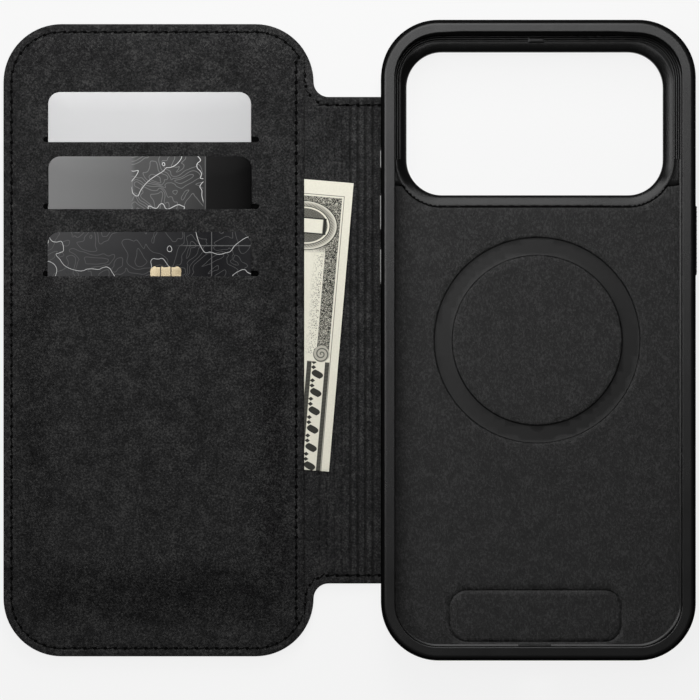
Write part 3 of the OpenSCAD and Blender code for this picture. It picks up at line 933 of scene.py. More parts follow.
@dataclass(frozen=True)
class NotePaper:
    """Cotton paper with a made-up engraved ornament; laid out on the note's own map."""

    name: str
    w: float
    l: float
    medal: tuple[float, float, float, float] = (11.9, 12.2, 8.7, 6.65)
    scroll: tuple[float, float] = (4.7, 46.0)

    def stripe(self, p: Paint, x: object, lo: float, hi: float, blur: float = 0.06) -> bpy.types.NodeSocket:
        """Mask that is 1 between two values."""
        return p.calc("MULTIPLY", p.step(x, lo - blur, lo + blur), p.step(x, hi + blur, hi - blur))

    def engraving(self, p: Paint, right: object, far: object) -> bpy.types.NodeSocket:
        """Tangled fine lines that fill the dark fields.

        Args:
            p: Material being wired.
            right: Distance from the long edge.
            far: Distance from the top end.

        Returns:
            Ink share.
        """
        at = p.node("CombineXYZ", X=right, Y=far).outputs[0]
        leaf = p.noise(at, 1.15, 1.0, 0.5, 1.6)
        curl = p.calc("SINE", p.calc("MULTIPLY", leaf, 34.0))
        hatch = p.calc("SINE", p.calc("MULTIPLY", p.calc("ADD", right, far), 15.0))
        return p.calc("MULTIPLY_ADD", p.step(curl, 0.75, -0.1), 0.8, p.calc("MULTIPLY_ADD", p.step(
            hatch, 0.6, -0.6), 0.25, 0.1), clamp=True)

    def oval(self, p: Paint, right: object, far: object) -> tuple:
        """Medallion with its rings and an open lozenge.

        Args:
            p: Material being wired.
            right: Distance from the long edge.
            far: Distance from the top end.

        Returns:
            Mask of the medallion and its ink.
        """
        cx, cy, rx, ry = self.medal
        x = p.calc("DIVIDE", p.calc("SUBTRACT", right, cx), rx)
        y = p.calc("DIVIDE", p.calc("SUBTRACT", far, cy), ry)
        e = p.calc("SQRT", p.calc("ADD", p.calc("MULTIPLY", x, x), p.calc("MULTIPLY", y, y)))
        shade = p.calc("MULTIPLY", p.step(e, 0.97, 0.8), p.calc("MULTIPLY_ADD", p.calc("SINE", p.calc(
            "MULTIPLY", p.calc("ADD", x, y), 60.0)), 0.16, 0.5))
        ink = p.calc("MULTIPLY", shade, p.step(e, 0.76, 0.8))
        ink = p.calc("MAXIMUM", ink, self.stripe(p, e, 0.965, 0.995, 0.006))
        ink = p.calc("MAXIMUM", ink, self.stripe(p, e, 0.745, 0.775, 0.006))
        dots = p.calc("MULTIPLY", p.calc("SINE", p.calc("MULTIPLY", right, 16.0)),
                      p.calc("SINE", p.calc("MULTIPLY", far, 16.0)))
        field_ink = p.calc("MULTIPLY_ADD", p.step(dots, 0.3, -0.1), 0.5, 0.46)
        ink = p.calc("MAXIMUM", ink, p.calc("MULTIPLY", field_ink, p.step(e, 0.69, 0.675)))
        bar = p.calc("MAXIMUM", p.calc("ABSOLUTE", p.calc("MULTIPLY", x, 1.75)),
                     p.calc("ABSOLUTE", p.calc("MULTIPLY", y, 3.4)))
        ink = p.calc("MULTIPLY", ink, p.step(bar, 0.9, 1.0))
        ink = p.calc("MAXIMUM", ink, p.calc("MULTIPLY", self.stripe(p, bar, 0.95, 1.12, 0.02), 0.95))
        return p.step(e, 1.0, 0.99), ink

    def volute(self, p: Paint, right: object, far: object) -> tuple:
        """Rolled scroll below the leaf band; returns its mask and its ink."""
        x = p.calc("SUBTRACT", right, self.scroll[0])
        y = p.calc("SUBTRACT", far, self.scroll[1])
        r = p.calc("SQRT", p.calc("ADD", p.calc("MULTIPLY", x, x), p.calc("MULTIPLY", y, y)))
        turn = p.calc("SINE", p.calc("MULTIPLY_ADD", r, 6.5, p.calc("ARCTAN2", y, x)))
        ink = p.calc("MULTIPLY_ADD", p.step(turn, 0.1, 0.8), 0.5, 0.22)
        return p.step(r, 2.25, 2.1), ink

    def lower(self, p: Paint, right: object, far: object) -> bpy.types.NodeSocket:
        """Dark bands with a row of leaves and lozenges between them."""
        beat = p.calc("SUBTRACT", p.calc("FRACT", p.calc("DIVIDE", far, 4.9)), 0.5)
        y = p.calc("DIVIDE", beat, 0.25)
        x = p.calc("DIVIDE", p.calc("SUBTRACT", right, 5.3), 1.55)
        leaf = p.calc("ADD", p.calc("ABSOLUTE", p.calc("ADD", x, p.calc("MULTIPLY", y, 0.45))),
                      p.calc("MULTIPLY", y, y))
        bud = p.calc("ADD", p.calc("ABSOLUTE", p.calc("SUBTRACT", x, 0.75)),
                     p.calc("ABSOLUTE", p.calc("SUBTRACT", p.calc("ABSOLUTE", y), 1.45)))
        ink = p.calc("MAXIMUM", p.step(leaf, 1.0, 0.9), p.step(bud, 0.5, 0.4))
        bands = p.calc("MAXIMUM", self.stripe(p, right, 2.35, 3.5), self.stripe(p, right, 7.1, 8.3))
        return p.calc("MAXIMUM", p.calc("MULTIPLY", ink, 0.9), p.calc("MULTIPLY", bands, p.calc(
            "MULTIPLY_ADD", p.calc("SINE", p.calc("MULTIPLY", far, 17.0)), 0.1, 0.85)))

    def make(self) -> bpy.types.Material:
        """Builds the material."""
        p = Paint(self.name, 0.78, 0.25)
        at = p.place(uv=True)
        u, v = p.split(at)
        right = p.calc("SUBTRACT", self.w, u)
        far = p.calc("SUBTRACT", self.l, v)
        paper = p.noise(at, 0.5, 4.0, 0.7)
        base = p.tones(paper, (0.2, (0.6, 0.58, 0.49)), (0.85, (0.72, 0.7, 0.6)))
        edge = p.calc("MINIMUM", p.calc("SUBTRACT", right, 2.1), p.calc("SUBTRACT", far, 3.7))
        frame = p.calc("MULTIPLY", self.stripe(p, edge, 0.0, 0.14), 0.75)
        upper = p.step(far, 19.5, 17.0)
        mid = p.calc("MULTIPLY", p.step(far, 16.5, 17.5), p.step(far, 46.2, 46.0))
        lace = p.calc("MULTIPLY", self.engraving(p, right, far), p.calc("ADD", p.calc(
            "MULTIPLY", p.step(edge, 0.55, 0.65), upper),
            p.calc("MULTIPLY", self.stripe(p, right, 2.75, 6.0), mid), clamp=True))
        stipple = p.calc("MULTIPLY", p.step(p.cells(at, 0.33), 0.42, 0.3), p.calc("MULTIPLY", mid, p.calc(
            "MULTIPLY", p.step(right, 6.3, 6.45), p.step(right, 9.4, 6.8))))
        ink = p.calc("MAXIMUM", p.calc("MAXIMUM", frame, lace), p.calc("MULTIPLY", stipple, 0.62))
        low = p.step(far, 48.0, 48.3)
        ink = p.calc("MAXIMUM", p.calc("MULTIPLY", ink, p.calc(
            "SUBTRACT", 1.0, p.calc("MULTIPLY", low, p.step(edge, 0.2, 0.3)))),
                     p.calc("MULTIPLY", self.lower(p, right, far), low))
        for mask, own in (self.oval(p, right, far), self.volute(p, right, far)):
            ink = p.calc("ADD", p.calc("MULTIPLY", ink, p.calc("SUBTRACT", 1.0, mask)),
                         p.calc("MULTIPLY", own, mask))
        ink = p.calc("MULTIPLY", p.calc("POWER", p.calc("MULTIPLY", ink, 1.08, clamp=True), 0.6), 0.99)
        color = p.mix(ink, base, (0.012, 0.013, 0.011))
        return p.finish(color, paper, 0.02)


# ------------------------------------------------------------ repeated forms


@dataclass
class RowOfForms:
    """Repeats one rounded form along paths with Geometry Nodes."""

    name: str
    paths: list[Array]
    pitch: float
    size: tuple[float, float, float]
    finish: bpy.types.Material
    slant: float = 0.0
    shift: float = 0.0
    segments: int = 8
    rings: int = 5

    def tree(self) -> bpy.types.NodeTree:
        """Builds the node tree with named inputs for its sizes.

        Returns:
            The tree.
        """
        tree = bpy.data.node_groups.new(self.name + "_row", "GeometryNodeTree")
        face = tree.interface
        face.new_socket("Geometry", in_out="INPUT", socket_type="NodeSocketGeometry")
        for label, kind in (("Pitch", "Float"), ("Form size", "Vector"), ("Slant", "Float"),
                            ("Shift", "Float"), ("Finish", "Material")):
            face.new_socket(label, in_out="INPUT", socket_type="NodeSocket" + kind)
        face.new_socket("Geometry", in_out="OUTPUT", socket_type="NodeSocketGeometry")
        add = tree.nodes.new
        link = tree.links.new
        src, out = add("NodeGroupInput"), add("NodeGroupOutput")
        points = add("GeometryNodeCurveToPoints")
        points.mode = "LENGTH"
        link(src.outputs["Geometry"], points.inputs["Curve"])
        link(src.outputs["Pitch"], points.inputs["Length"])
        ball = add("GeometryNodeMeshUVSphere")
        ball.inputs["Segments"].default_value = self.segments
        ball.inputs["Rings"].default_value = self.rings
        ball.inputs["Radius"].default_value = 0.5
        turn, shift = add("ShaderNodeCombineXYZ"), add("ShaderNodeCombineXYZ")
        link(src.outputs["Slant"], turn.inputs["Z"])
        link(src.outputs["Shift"], shift.inputs["X"])
        form = add("GeometryNodeTransform")
        link(ball.outputs["Mesh"], form.inputs["Geometry"])
        link(src.outputs["Form size"], form.inputs["Scale"])
        link(turn.outputs[0], form.inputs["Rotation"])
        link(shift.outputs[0], form.inputs["Translation"])
        aim = add("FunctionNodeAlignRotationToVector")
        aim.axis = "X"
        aim.pivot_axis = "Z"
        link(points.outputs["Tangent"], aim.inputs["Vector"])
        put = add("GeometryNodeInstanceOnPoints")
        link(points.outputs["Points"], put.inputs["Points"])
        link(form.outputs[0], put.inputs["Instance"])
        link(aim.outputs[0], put.inputs["Rotation"])
        real, dress, smooth = (add("GeometryNodeRealizeInstances"), add("GeometryNodeSetMaterial"),
                               add("GeometryNodeSetShadeSmooth"))
        link(put.outputs[0], smooth.inputs[0])
        link(smooth.outputs[0], real.inputs[0])
        link(real.outputs[0], dress.inputs["Geometry"])
        link(src.outputs["Finish"], dress.inputs["Material"])
        link(dress.outputs[0], out.inputs[0])
        return tree

    def build(self) -> bpy.types.Object:
        """Runs the tree on the paths and keeps the plain mesh.

        Returns:
            The piece.
        """
        curve = bpy.data.curves.new(self.name, "CURVE")
        curve.dimensions = "3D"
        for path in self.paths:
            spline = curve.splines.new("POLY")
            spline.points.add(len(path) - 1)
            for pt, co in zip(spline.points, path):
                pt.co = (*(np.asarray(co) * MM), 1.0)
        rail = bpy.data.objects.new(self.name + "_rail", curve)
        bpy.context.scene.collection.objects.link(rail)
        mod = rail.modifiers.new("row", "NODES")
        mod.node_group = self.tree()
        values = {"Pitch": self.pitch * MM, "Form size": tuple(s * MM for s in self.size),
                  "Slant": math.radians(self.slant), "Shift": self.shift * MM, "Finish": self.finish}
        for item in mod.node_group.interface.items_tree:
            if item.in_out == "INPUT" and item.name in values:
                mod[item.identifier] = values[item.name]
        bpy.context.view_layer.update()
        deps = bpy.context.evaluated_depsgraph_get()
        mesh = bpy.data.meshes.new_from_object(rail.evaluated_get(deps))
        rail.modifiers.clear()
        bpy.data.objects.remove(rail)
        mesh.name = self.name
        mesh.materials.clear()
        mesh.materials.append(self.finish)
        mesh.polygons.foreach_set("material_index", np.zeros(len(mesh.polygons), np.int32))
        obj = bpy.data.objects.new(self.name, mesh)
        bpy.context.scene.collection.objects.link(obj)
        return obj


# -------------------------------------------------------------- sub-assemblies


@dataclass
class Places:
    """Where the CAD model puts the case, in millimetres."""

    cover_x0: float = 0.0
    cover_x1: float = 0.0
    cover_y: float = 0.0
    cover_r: float = 15.5
    shell_x0: float = 0.0
    shell_x1: float = 0.0
    shell_y: float = 0.0
    shell_h: float = 0.0
    shell_r: float = 15.2
    spine_y: float = 64.8
    fillet: float = 4.0
    fold_a: float = 0.0
    fold_b: float = 0.0
    fold_z: float = 0.0
    mid: float = 0.0
    panel_x: float = 0.0
    turned_edge: ClassVar[float] = 0.15
    fold_margin: ClassVar[float] = 1.1

    @staticmethod
    def box(node: str) -> tuple[Array, Array]:
        """Low and high corner of a CAD node in millimetres."""
        lo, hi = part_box(node)
        return np.array(lo) / MM, np.array(hi) / MM

    @classmethod
    def read(cls, joints: list) -> "Places":
        """Reads the places from the loaded frame.

        Args:
            joints: Joints of the CAD record.

        Returns:
            The places.
        """
        shell_lo, shell_hi = cls.box("shell_bumper")
        cov_lo, cov_hi = cls.box("cover_leather")
        panel_hi = cls.box("card_panel")[1]
        axes = {j["name"]: [c / MM for c in j["pos_m"]] for j in joints if j["type"] == "hinge"}
        a, b = axes["spine_fold"], axes["cover_fold"]
        p = cls(cover_x0=cov_lo[0], cover_x1=float(b[0]) - cls.fold_margin, cover_y=cov_hi[1],
                shell_x0=shell_lo[0], shell_x1=shell_hi[0], shell_y=shell_hi[1], shell_h=shell_hi[2],
                fold_a=a[0], fold_b=b[0], fold_z=a[2], panel_x=panel_hi[0])
        p.mid = (a[0] + b[0]) / 2
        p.cover_x0 -= cls.turned_edge
        p.cover_y += cls.turned_edge
        return p

    def cover_loop(self, inset: float = 0.0) -> Array:
        """Outline of the cover alone, moved inwards."""
        return rounded_rect(self.cover_x0 + inset, self.cover_x1 - inset, -self.cover_y + inset,
                            self.cover_y - inset, self.cover_r - inset, 18)

    def folio_edge(self, d: float = 0.0, x_end: float | None = None) -> Array:
        """Edge of cover and spine as one open path, from the spine's upper end round to its lower end.

        Args:
            d: Distance inwards from the edge.
            x_end: X at which the path starts and ends; the middle of the spine if left out.

        Returns:
            Counter-clockwise open path.
        """
        end = self.mid if x_end is None else x_end
        s, f, r, x1 = self.spine_y, self.fillet, self.cover_r, self.cover_x1
        rows = [np.array([[end, s - d]]), arc(x1 + f, s + f, f + d, 270, 180, 10)]
        cr, cy = r - d, self.cover_y
        rows += [arc(x1 - r, cy - r, cr, 0, 90, 18), arc(self.cover_x0 + r, cy - r, cr, 90, 180, 18),
                 arc(self.cover_x0 + r, -cy + r, cr, 180, 270, 18), arc(x1 - r, -cy + r, cr, 270, 360, 18),
                 arc(x1 + f, -s - f, f + d, 180, 90, 10), np.array([[end, -s + d]])]
        return np.concatenate(rows)

    def on_cut(self, pts: Array) -> Array:
        """Marks points on the line where the two halves of the spine meet."""
        return np.abs(pts[:, 0] - self.mid) < 1e-3

    def bend_cover(self, obj: bpy.types.Object) -> None:
        """Bakes a piece's transform into its mesh."""
        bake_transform(obj)

    def bend_spine(self, obj: bpy.types.Object) -> None:
        """Bakes a piece's transform into its mesh."""
        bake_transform(obj)


@dataclass
class Folio:
    """Outer leather, ribbed inner lining and the seams of cover and spine."""

    at: Places
    hide_t: float = 1.0
    inner_cover: float = 2.02
    inner_spine: float = 1.9
    rib_first: float = -7.8
    rib_pitch: float = 2.0
    rib_count: int = 8
    rib_depth: float = 0.22
    rib_width: float = 0.36
    seam_in: float = 2.15
    stitch_pitch: float = 2.68
    stitch: tuple[float, float, float] = (2.75, 0.46, 0.42)
    seam_valley: float = 0.16

    def seam_groove(self, x: Array, y: Array, depth: float) -> Array:
        """Depth of the valley that the seam pulls into a face."""
        path = even(self.at.folio_edge(self.seam_in, self.at.shell_x0 + 2), 1.5)
        d = gap_to(np.stack([x, y], 1), path, closed=False)
        return depth * dip(d, 0.5)

    def ribs(self, x: Array, y: Array) -> Array:
        """Depth of the spine's grooves."""
        g = np.zeros_like(x)
        for k in range(self.rib_count):
            g += dip(x - (self.rib_first + k * self.rib_pitch), self.rib_width)
        ends = soft((self.at.spine_y - 1.0 - np.abs(y)) / 1.2)
        return self.rib_depth * g * ends

    def inner_face(self, x: Array, y: Array) -> Array:
        """Height of the inner lining's upper face."""
        t = soft((x - (self.at.cover_x1 - 0.2)) / 1.6)
        base = self.inner_cover + (self.inner_spine - self.inner_cover) * t
        return base - self.ribs(x, y) - self.seam_groove(x, y, self.seam_valley)

    def rib_lines(self, x0: float, x1: float) -> Array:
        """Plan lines close enough to carry the ribs."""
        lo = max(x0, self.rib_first - 1.0)
        fine = np.arange(lo, min(x1, self.rib_first + self.rib_pitch * self.rib_count) + 0.01, 0.125)
        left = np.arange(x0 + 1.0, lo - 0.3, 2.2)
        return np.unique(np.concatenate([left, fine, np.arange(fine[-1] + 0.6, x1, 0.6)]).round(4))

    def back_outline(self) -> tuple[Array, Array]:
        """Outline of the tray's leather back with its half of the spine, and the camera cut-out."""
        a = self.at
        s, inset = a.spine_y, 1.25
        x0, x1, y1, r = a.shell_x0 + inset, a.shell_x1 - inset, a.shell_y - inset, a.shell_r - inset
        loop = np.concatenate([
            np.array([[a.mid, s], [a.mid, -s], [x0, -s]]),
            arc(x0 + r, -y1 + r, r, 180, 270), arc(x1 - r, -y1 + r, r, 270, 360),
            arc(x1 - r, y1 - r, r, 0, 90), arc(x0 + r, y1 - r, r, 90, 180), np.array([[x0, s]])])
        return loop, camera_hole(a, 2.2)

    def build(self, leather: bpy.types.Material, inner: bpy.types.Material, thread: bpy.types.Material,
              hole: bpy.types.Material) -> list[bpy.types.Object]:
        """Makes leather, lining and seams of both halves.

        Args:
            leather: Outer leather.
            inner: Inner lining.
            thread: Thread of the seams.
            hole: Near-black finish that paints the shade in the needle holes.

        Returns:
            The pieces.
        """
        a = self.at
        flat = lambda z: (lambda x, y: np.full_like(x, z))
        under = lambda x, y: self.seam_groove(x, y, 0.22)
        edge = a.folio_edge()
        bend = np.arange(a.fold_b - 4.5, a.mid, 0.35)
        xs = np.unique(np.concatenate([np.arange(a.cover_x0, a.fold_b - 4.5, 1.6), bend]))
        seam_dots = np.concatenate([even(a.folio_edge(self.seam_in + k), 1.2) for k in (-0.5, 0, 0.5)])
        near = lambda q: gap_to(q, even(a.folio_edge(self.seam_in), 1.5), closed=False) < 1.0
        hide = Sheet("cover_hide", edge, flat(self.hide_t), under, xs=xs, ys=np.arange(-84, 84, 1.6),
                     step=1.6, round_top=0.12, round_bottom=0.5, plain_side=a.on_cut,
                     extra=seam_dots, clear=near).build(leather)
        a.bend_cover(hide)
        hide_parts("cover_leather", "spine_leather")
        inlay = Sheet("cover_inner_lining", edge, self.inner_face, flat(self.hide_t),
                      xs=self.rib_lines(a.cover_x0, a.mid), ys=np.arange(-84.5, 85, 1.0),
                      step=1.6, round_top=0.25, round_bottom=0.1, plain_side=a.on_cut,
                      extra=seam_dots, clear=near).build(inner)
        a.bend_cover(inlay)
        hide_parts("cover_lining", "spine_lining")
        loop, cam = self.back_outline()
        spine_seam = [even(np.array([[a.mid, k * (a.spine_y - self.seam_in - j)], [a.shell_x0 + 1, k * (
            a.spine_y - self.seam_in - j)]]), 1.0) for k in (1, -1) for j in (-0.5, 0, 0.5)]
        xs = np.unique(np.concatenate([np.arange(a.mid + 0.35, a.shell_x0 + 1, 0.35),
                                       np.arange(a.shell_x0 + 2, a.shell_x1, 2.0)]))
        back = Sheet("tray_back_leather", loop, flat(self.hide_t), lambda x, y: self.seam_groove(
            x, y, 0.22) * soft((a.shell_x0 - x) / 1.5 + 1), holes=[cam], xs=xs, ys=np.arange(-84, 84, 1.8),
            step=1.8, round_top=0.1, round_bottom=0.35, plain_side=a.on_cut,
            extra=np.concatenate(spine_seam)[:, :2]).build(leather)
        a.bend_spine(back)
        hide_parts("back_leather")
        tongue_x = a.shell_x0 + 1.2
        s = a.spine_y
        half = np.array([[a.mid, s], [a.mid, -s], [tongue_x, -s], [tongue_x, s]])
        # The spine lining's leather has painted shade darkening the creases between its ribs.
        ribbed_hide = Leather("ribbed_leather_crease_shade", 0.0165, 0.36, 0.05, 0.3,
                              (self.rib_first, self.rib_pitch, self.rib_count)).make()
        ribbed = Sheet("spine_inner_lining", half, lambda x, y: np.minimum(self.inner_face(x, y), 1.93),
                       flat(self.hide_t), xs=self.rib_lines(a.mid, tongue_x),
                       ys=np.arange(-64.5, 65, 1.0),
                       step=1.2, round_top=0.25, round_bottom=0.1, plain_side=a.on_cut).build(ribbed_hide)
        a.bend_spine(ribbed)
        return [hide, inlay, back, ribbed] + self.seams(thread, hole)

    def seam_height(self, path: Array) -> Array:
        """Adds the height of the face under each point of a seam path."""
        x = path[:, 0]
        panel = soft((self.at.panel_x - x) / 0.5)
        t = soft((x - (self.at.cover_x1 - 0.2)) / 1.6)
        low = self.inner_cover + (self.inner_spine - self.inner_cover) * t - self.seam_valley
        z = low + (2.75 - self.seam_valley - low) * panel
        return np.column_stack([path, z])

    def seams(self, thread: bpy.types.Material, hole: bpy.types.Material) -> list[bpy.types.Object]:
        """Makes the stitches of the edge seam, inside and outside, and near-black dots that paint the shade
        in its needle holes on the inside.

        Args:
            thread: Thread finish.
            hole: Near-black finish that paints the shade in the needle holes.

        Returns:
            The seam pieces.
        """
        a = self.at
        made: list[bpy.types.Object] = []
        left = even(a.folio_edge(self.seam_in), 0.4)
        rows = [even(np.array([[a.mid, k * (a.spine_y - self.seam_in)],
                               [a.shell_x0 - 0.4, k * (a.spine_y - self.seam_in)]]), 0.4) for k in (1, -1)]
        for side, paths, bend in (("cover", [left], a.bend_cover), ("spine", rows, a.bend_spine)):
            inner = [self.seam_height(p) + (0, 0, -0.03) for p in paths]
            outer = [np.column_stack([p, np.full(len(p), 0.2)]) for p in paths]
            for face, rail, tilt in (("inner", inner, 13.0), ("outer", outer, -13.0)):
                row = RowOfForms(f"{side}_{face}_stitches", rail, self.stitch_pitch, self.stitch,
                                 thread, tilt,
                                 self.stitch_pitch / 2).build()
                bend(row)
                if face == "inner":
                    # Painted shade: near-black dots between the stitches stand in for the shade inside the
                    # needle holes.
                    hole_shade_dots = RowOfForms(f"{side}_{face}_holes", [p + (0, 0, 0.05) for p in rail],
                                      self.stitch_pitch,
                                      (1.05, 1.0, 0.24), hole, 25.0, 0.0, 10, 4).build()
                    bend(hole_shade_dots)
                    made.append(hole_shade_dots)
                    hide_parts("cover_seam" if side == "cover" else "spine_seams")
                made.append(row)
        return made


def camera_hole(a: Places, grow: float = 0.0) -> Array:
    """Outline of the camera opening, grown outwards.

    Args:
        a: Places of the case.
        grow: Distance outwards.

    Returns:
        Counter-clockwise outline.
    """
    cx, w, l, r = (a.shell_x0 + a.shell_x1) / 2 - 0.6, 68.3, 38.1, 9.4
    cy = a.shell_y - 8.0 - l / 2
    return rounded_rect(cx - w / 2 - grow, cx + w / 2 + grow, cy - l / 2 - grow, cy + l / 2 + grow,
                        r + grow, 16)


@dataclass
class CardPanel:
    """Leather panel with three slots, swelling over the cards behind it."""

    at: Places
    slots: tuple[float, ...] = (52.7, 34.85, 17.0)
    slot_x: tuple[float, float] = (-81.5, -24.1)
    slot_h: float = 1.35
    base: float = 2.75
    rise: float = 1.27
    ply: float = 0.42
    pocket_end: float = -58.0
    seam_x: float = -14.25
    seam_y: float = 74.0
    card_x0: float = -80.34
    card_x1: float = -26.2
    stitch_pitch: float = 2.68

    def swell(self, x: Array, y: Array) -> Array:
        """Height that the cards add to the panel."""
        lo, hi = self.slot_x
        side = soft((x - self.at.cover_x0 - 2.9) / 11.6) * soft((self.seam_x - 0.8 - x) / 10.4)
        beyond = np.maximum(0, np.maximum(lo + 0.7 - x, x - hi + 0.7))
        foot = soft((y - (self.pocket_end - 19.0)) / 19.0)
        total = np.zeros_like(x)
        for s in self.slots:
            half = self.slot_h / 2 + 0.55 * beyond
            mid = s + self.slot_h / 2
            total += soft((mid + half - y) / (2 * half))
        return total * self.rise * side * foot

    def top(self, x: Array, y: Array) -> Array:
        """Height of the panel's upper face."""
        pts = np.stack([x, y], 1)
        edge = gap_to(pts, respace(self.at.cover_loop(), 3.0))
        valley = 0.16 * dip(edge - 2.15, 0.5) + 0.16 * dip(x - self.seam_x, 0.45) * soft(
            (self.seam_y + 0.6 - np.abs(y)) / 0.8)
        puff = 0.05 * soft((edge - 2.6) / 3.0)
        return self.base + self.swell(x, y) + puff - valley

    def bottom(self, x: Array, y: Array) -> Array:
        """Height of the panel's lower face."""
        pts = np.stack([x, y], 1)
        edge = gap_to(pts, respace(self.at.cover_loop(), 3.0))
        free = soft((x - (self.at.cover_x1 - 9.0)) / 2.0)
        hem = soft((3.6 - edge) / 0.4) * (1 - free)
        low = self.base + self.swell(x, y) - self.ply
        return low * (1 - hem) + 2.03 * hem

    def build(self, leather: bpy.types.Material, thread: bpy.types.Material,
              hole: bpy.types.Material) -> list[bpy.types.Object]:
        """Makes the panel, near-black plugs that paint the shade in the slot ends, and the seam down its
        free edge.

        Args:
            leather: Panel leather.
            thread: Thread finish.
            hole: Near-black finish that paints the shade in needle holes and slot ends.

        Returns:
            The pieces.
        """
        a = self.at
        loop = a.cover_loop()
        keep = loop[loop[:, 0] <= a.panel_x]
        start = int(np.argmax(np.diff(np.concatenate([keep[-1:], keep]), axis=0)[:, 1]))
        keep = np.roll(keep, -start, 0)
        yc = self.chord(a.panel_x)
        loop = np.concatenate([keep, np.array([[a.panel_x, -yc], [a.panel_x, yc]])])
        order = np.arctan2(loop[:, 1], loop[:, 0] - (a.cover_x0 + a.panel_x) / 2)
        loop = loop[np.argsort(order)]
        r = self.slot_h / 2
        holes = [rounded_rect(self.slot_x[0], self.slot_x[1], s, s + self.slot_h, r - 0.01, 6)
                 for s in self.slots]
        ys = [np.arange(-84, 84, 1.1)]
        for s in self.slots:
            ys += [s - np.array([0.25, 0.5, 0.8]), s + self.slot_h + np.array([0.25, 0.5, 0.8])]
        xs = np.concatenate([np.arange(a.cover_x0, a.panel_x, 1.1),
                             self.seam_x + np.array([-0.9, -0.6, -0.3, 0, 0.3, 0.6, 0.9])])
        ring = even(a.folio_edge(2.15), 1.2)
        ring = ring[ring[:, 0] < a.panel_x - 0.6]
        rings = [even(a.folio_edge(2.15 + k), 1.2) for k in (-0.5, -0.25, 0, 0.25, 0.5)]
        extra = np.concatenate([q[q[:, 0] < a.panel_x - 0.6] for q in rings])
        near = lambda q: gap_to(q, ring, closed=False) < 0.8
        panel = Sheet("card_panel_leather", loop, self.top, self.bottom, holes=holes,
                      xs=np.unique(xs.round(3)), ys=np.unique(np.concatenate(ys).round(3)),
                      step=1.0, round_top=0.22, round_bottom=0.06,
                      extra=extra, clear=near).build(leather)
        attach(panel, "cover")
        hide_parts("card_panel")
        # Painted shade: near-black plugs just below the slot ends, beyond the cards' edges, stand in for
        # the shade inside the pockets.
        ends = []
        for k, s in enumerate(self.slots):
            z = self.base + self.rise * 0.8 * k - 0.02
            for u0, u1 in ((self.slot_x[0] - 0.25, self.card_x0),
                           (self.card_x1 + 0.14, self.slot_x[1] + 0.25)):
                ends.append(Sheet("slot_end_shade_plug",
                                  rounded_rect(u0, u1, s - 0.2, s + self.slot_h + 0.2, 0.3, 3),
                                  lambda x, y, z=z: np.full_like(x, z),
                                  lambda x, y, z=z: np.full_like(x, z - 0.5),
                                  step=0.6, round_top=0.04, round_bottom=0.04).build(hole))
        slot_shade = join_into("slot_end_shade_plugs", ends)
        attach(slot_shade, "cover")
        rail = even(np.array([[self.seam_x, self.seam_y, self.base - 0.06],
                              [self.seam_x, -self.seam_y, self.base - 0.1]]), 0.5)
        row = RowOfForms("panel_edge_stitches", [rail], self.stitch_pitch, (2.2, 0.42, 0.3), thread, 10.0,
                         self.stitch_pitch / 2).build()
        # Painted shade: near-black dots stand in for the shade inside the seam's needle holes.
        hole_shade_dots = RowOfForms("panel_edge_hole_shade", [rail + (0, 0, 0.02)], self.stitch_pitch,
                          (1.05, 1.0, 0.26), hole, 0, 0, 10, 4).build()
        for obj in (row, hole_shade_dots):
            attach(obj, "cover")
        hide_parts("panel_seam")
        return [panel, slot_shade, row, hole_shade_dots]

    def chord(self, x: float) -> float:
        """Half length of the cover's outline at an X near its inner side."""
        a = self.at
        dx = x - (a.cover_x1 - a.cover_r)
        return a.cover_y - a.cover_r + math.sqrt(max(0.0, a.cover_r ** 2 - dx * dx))


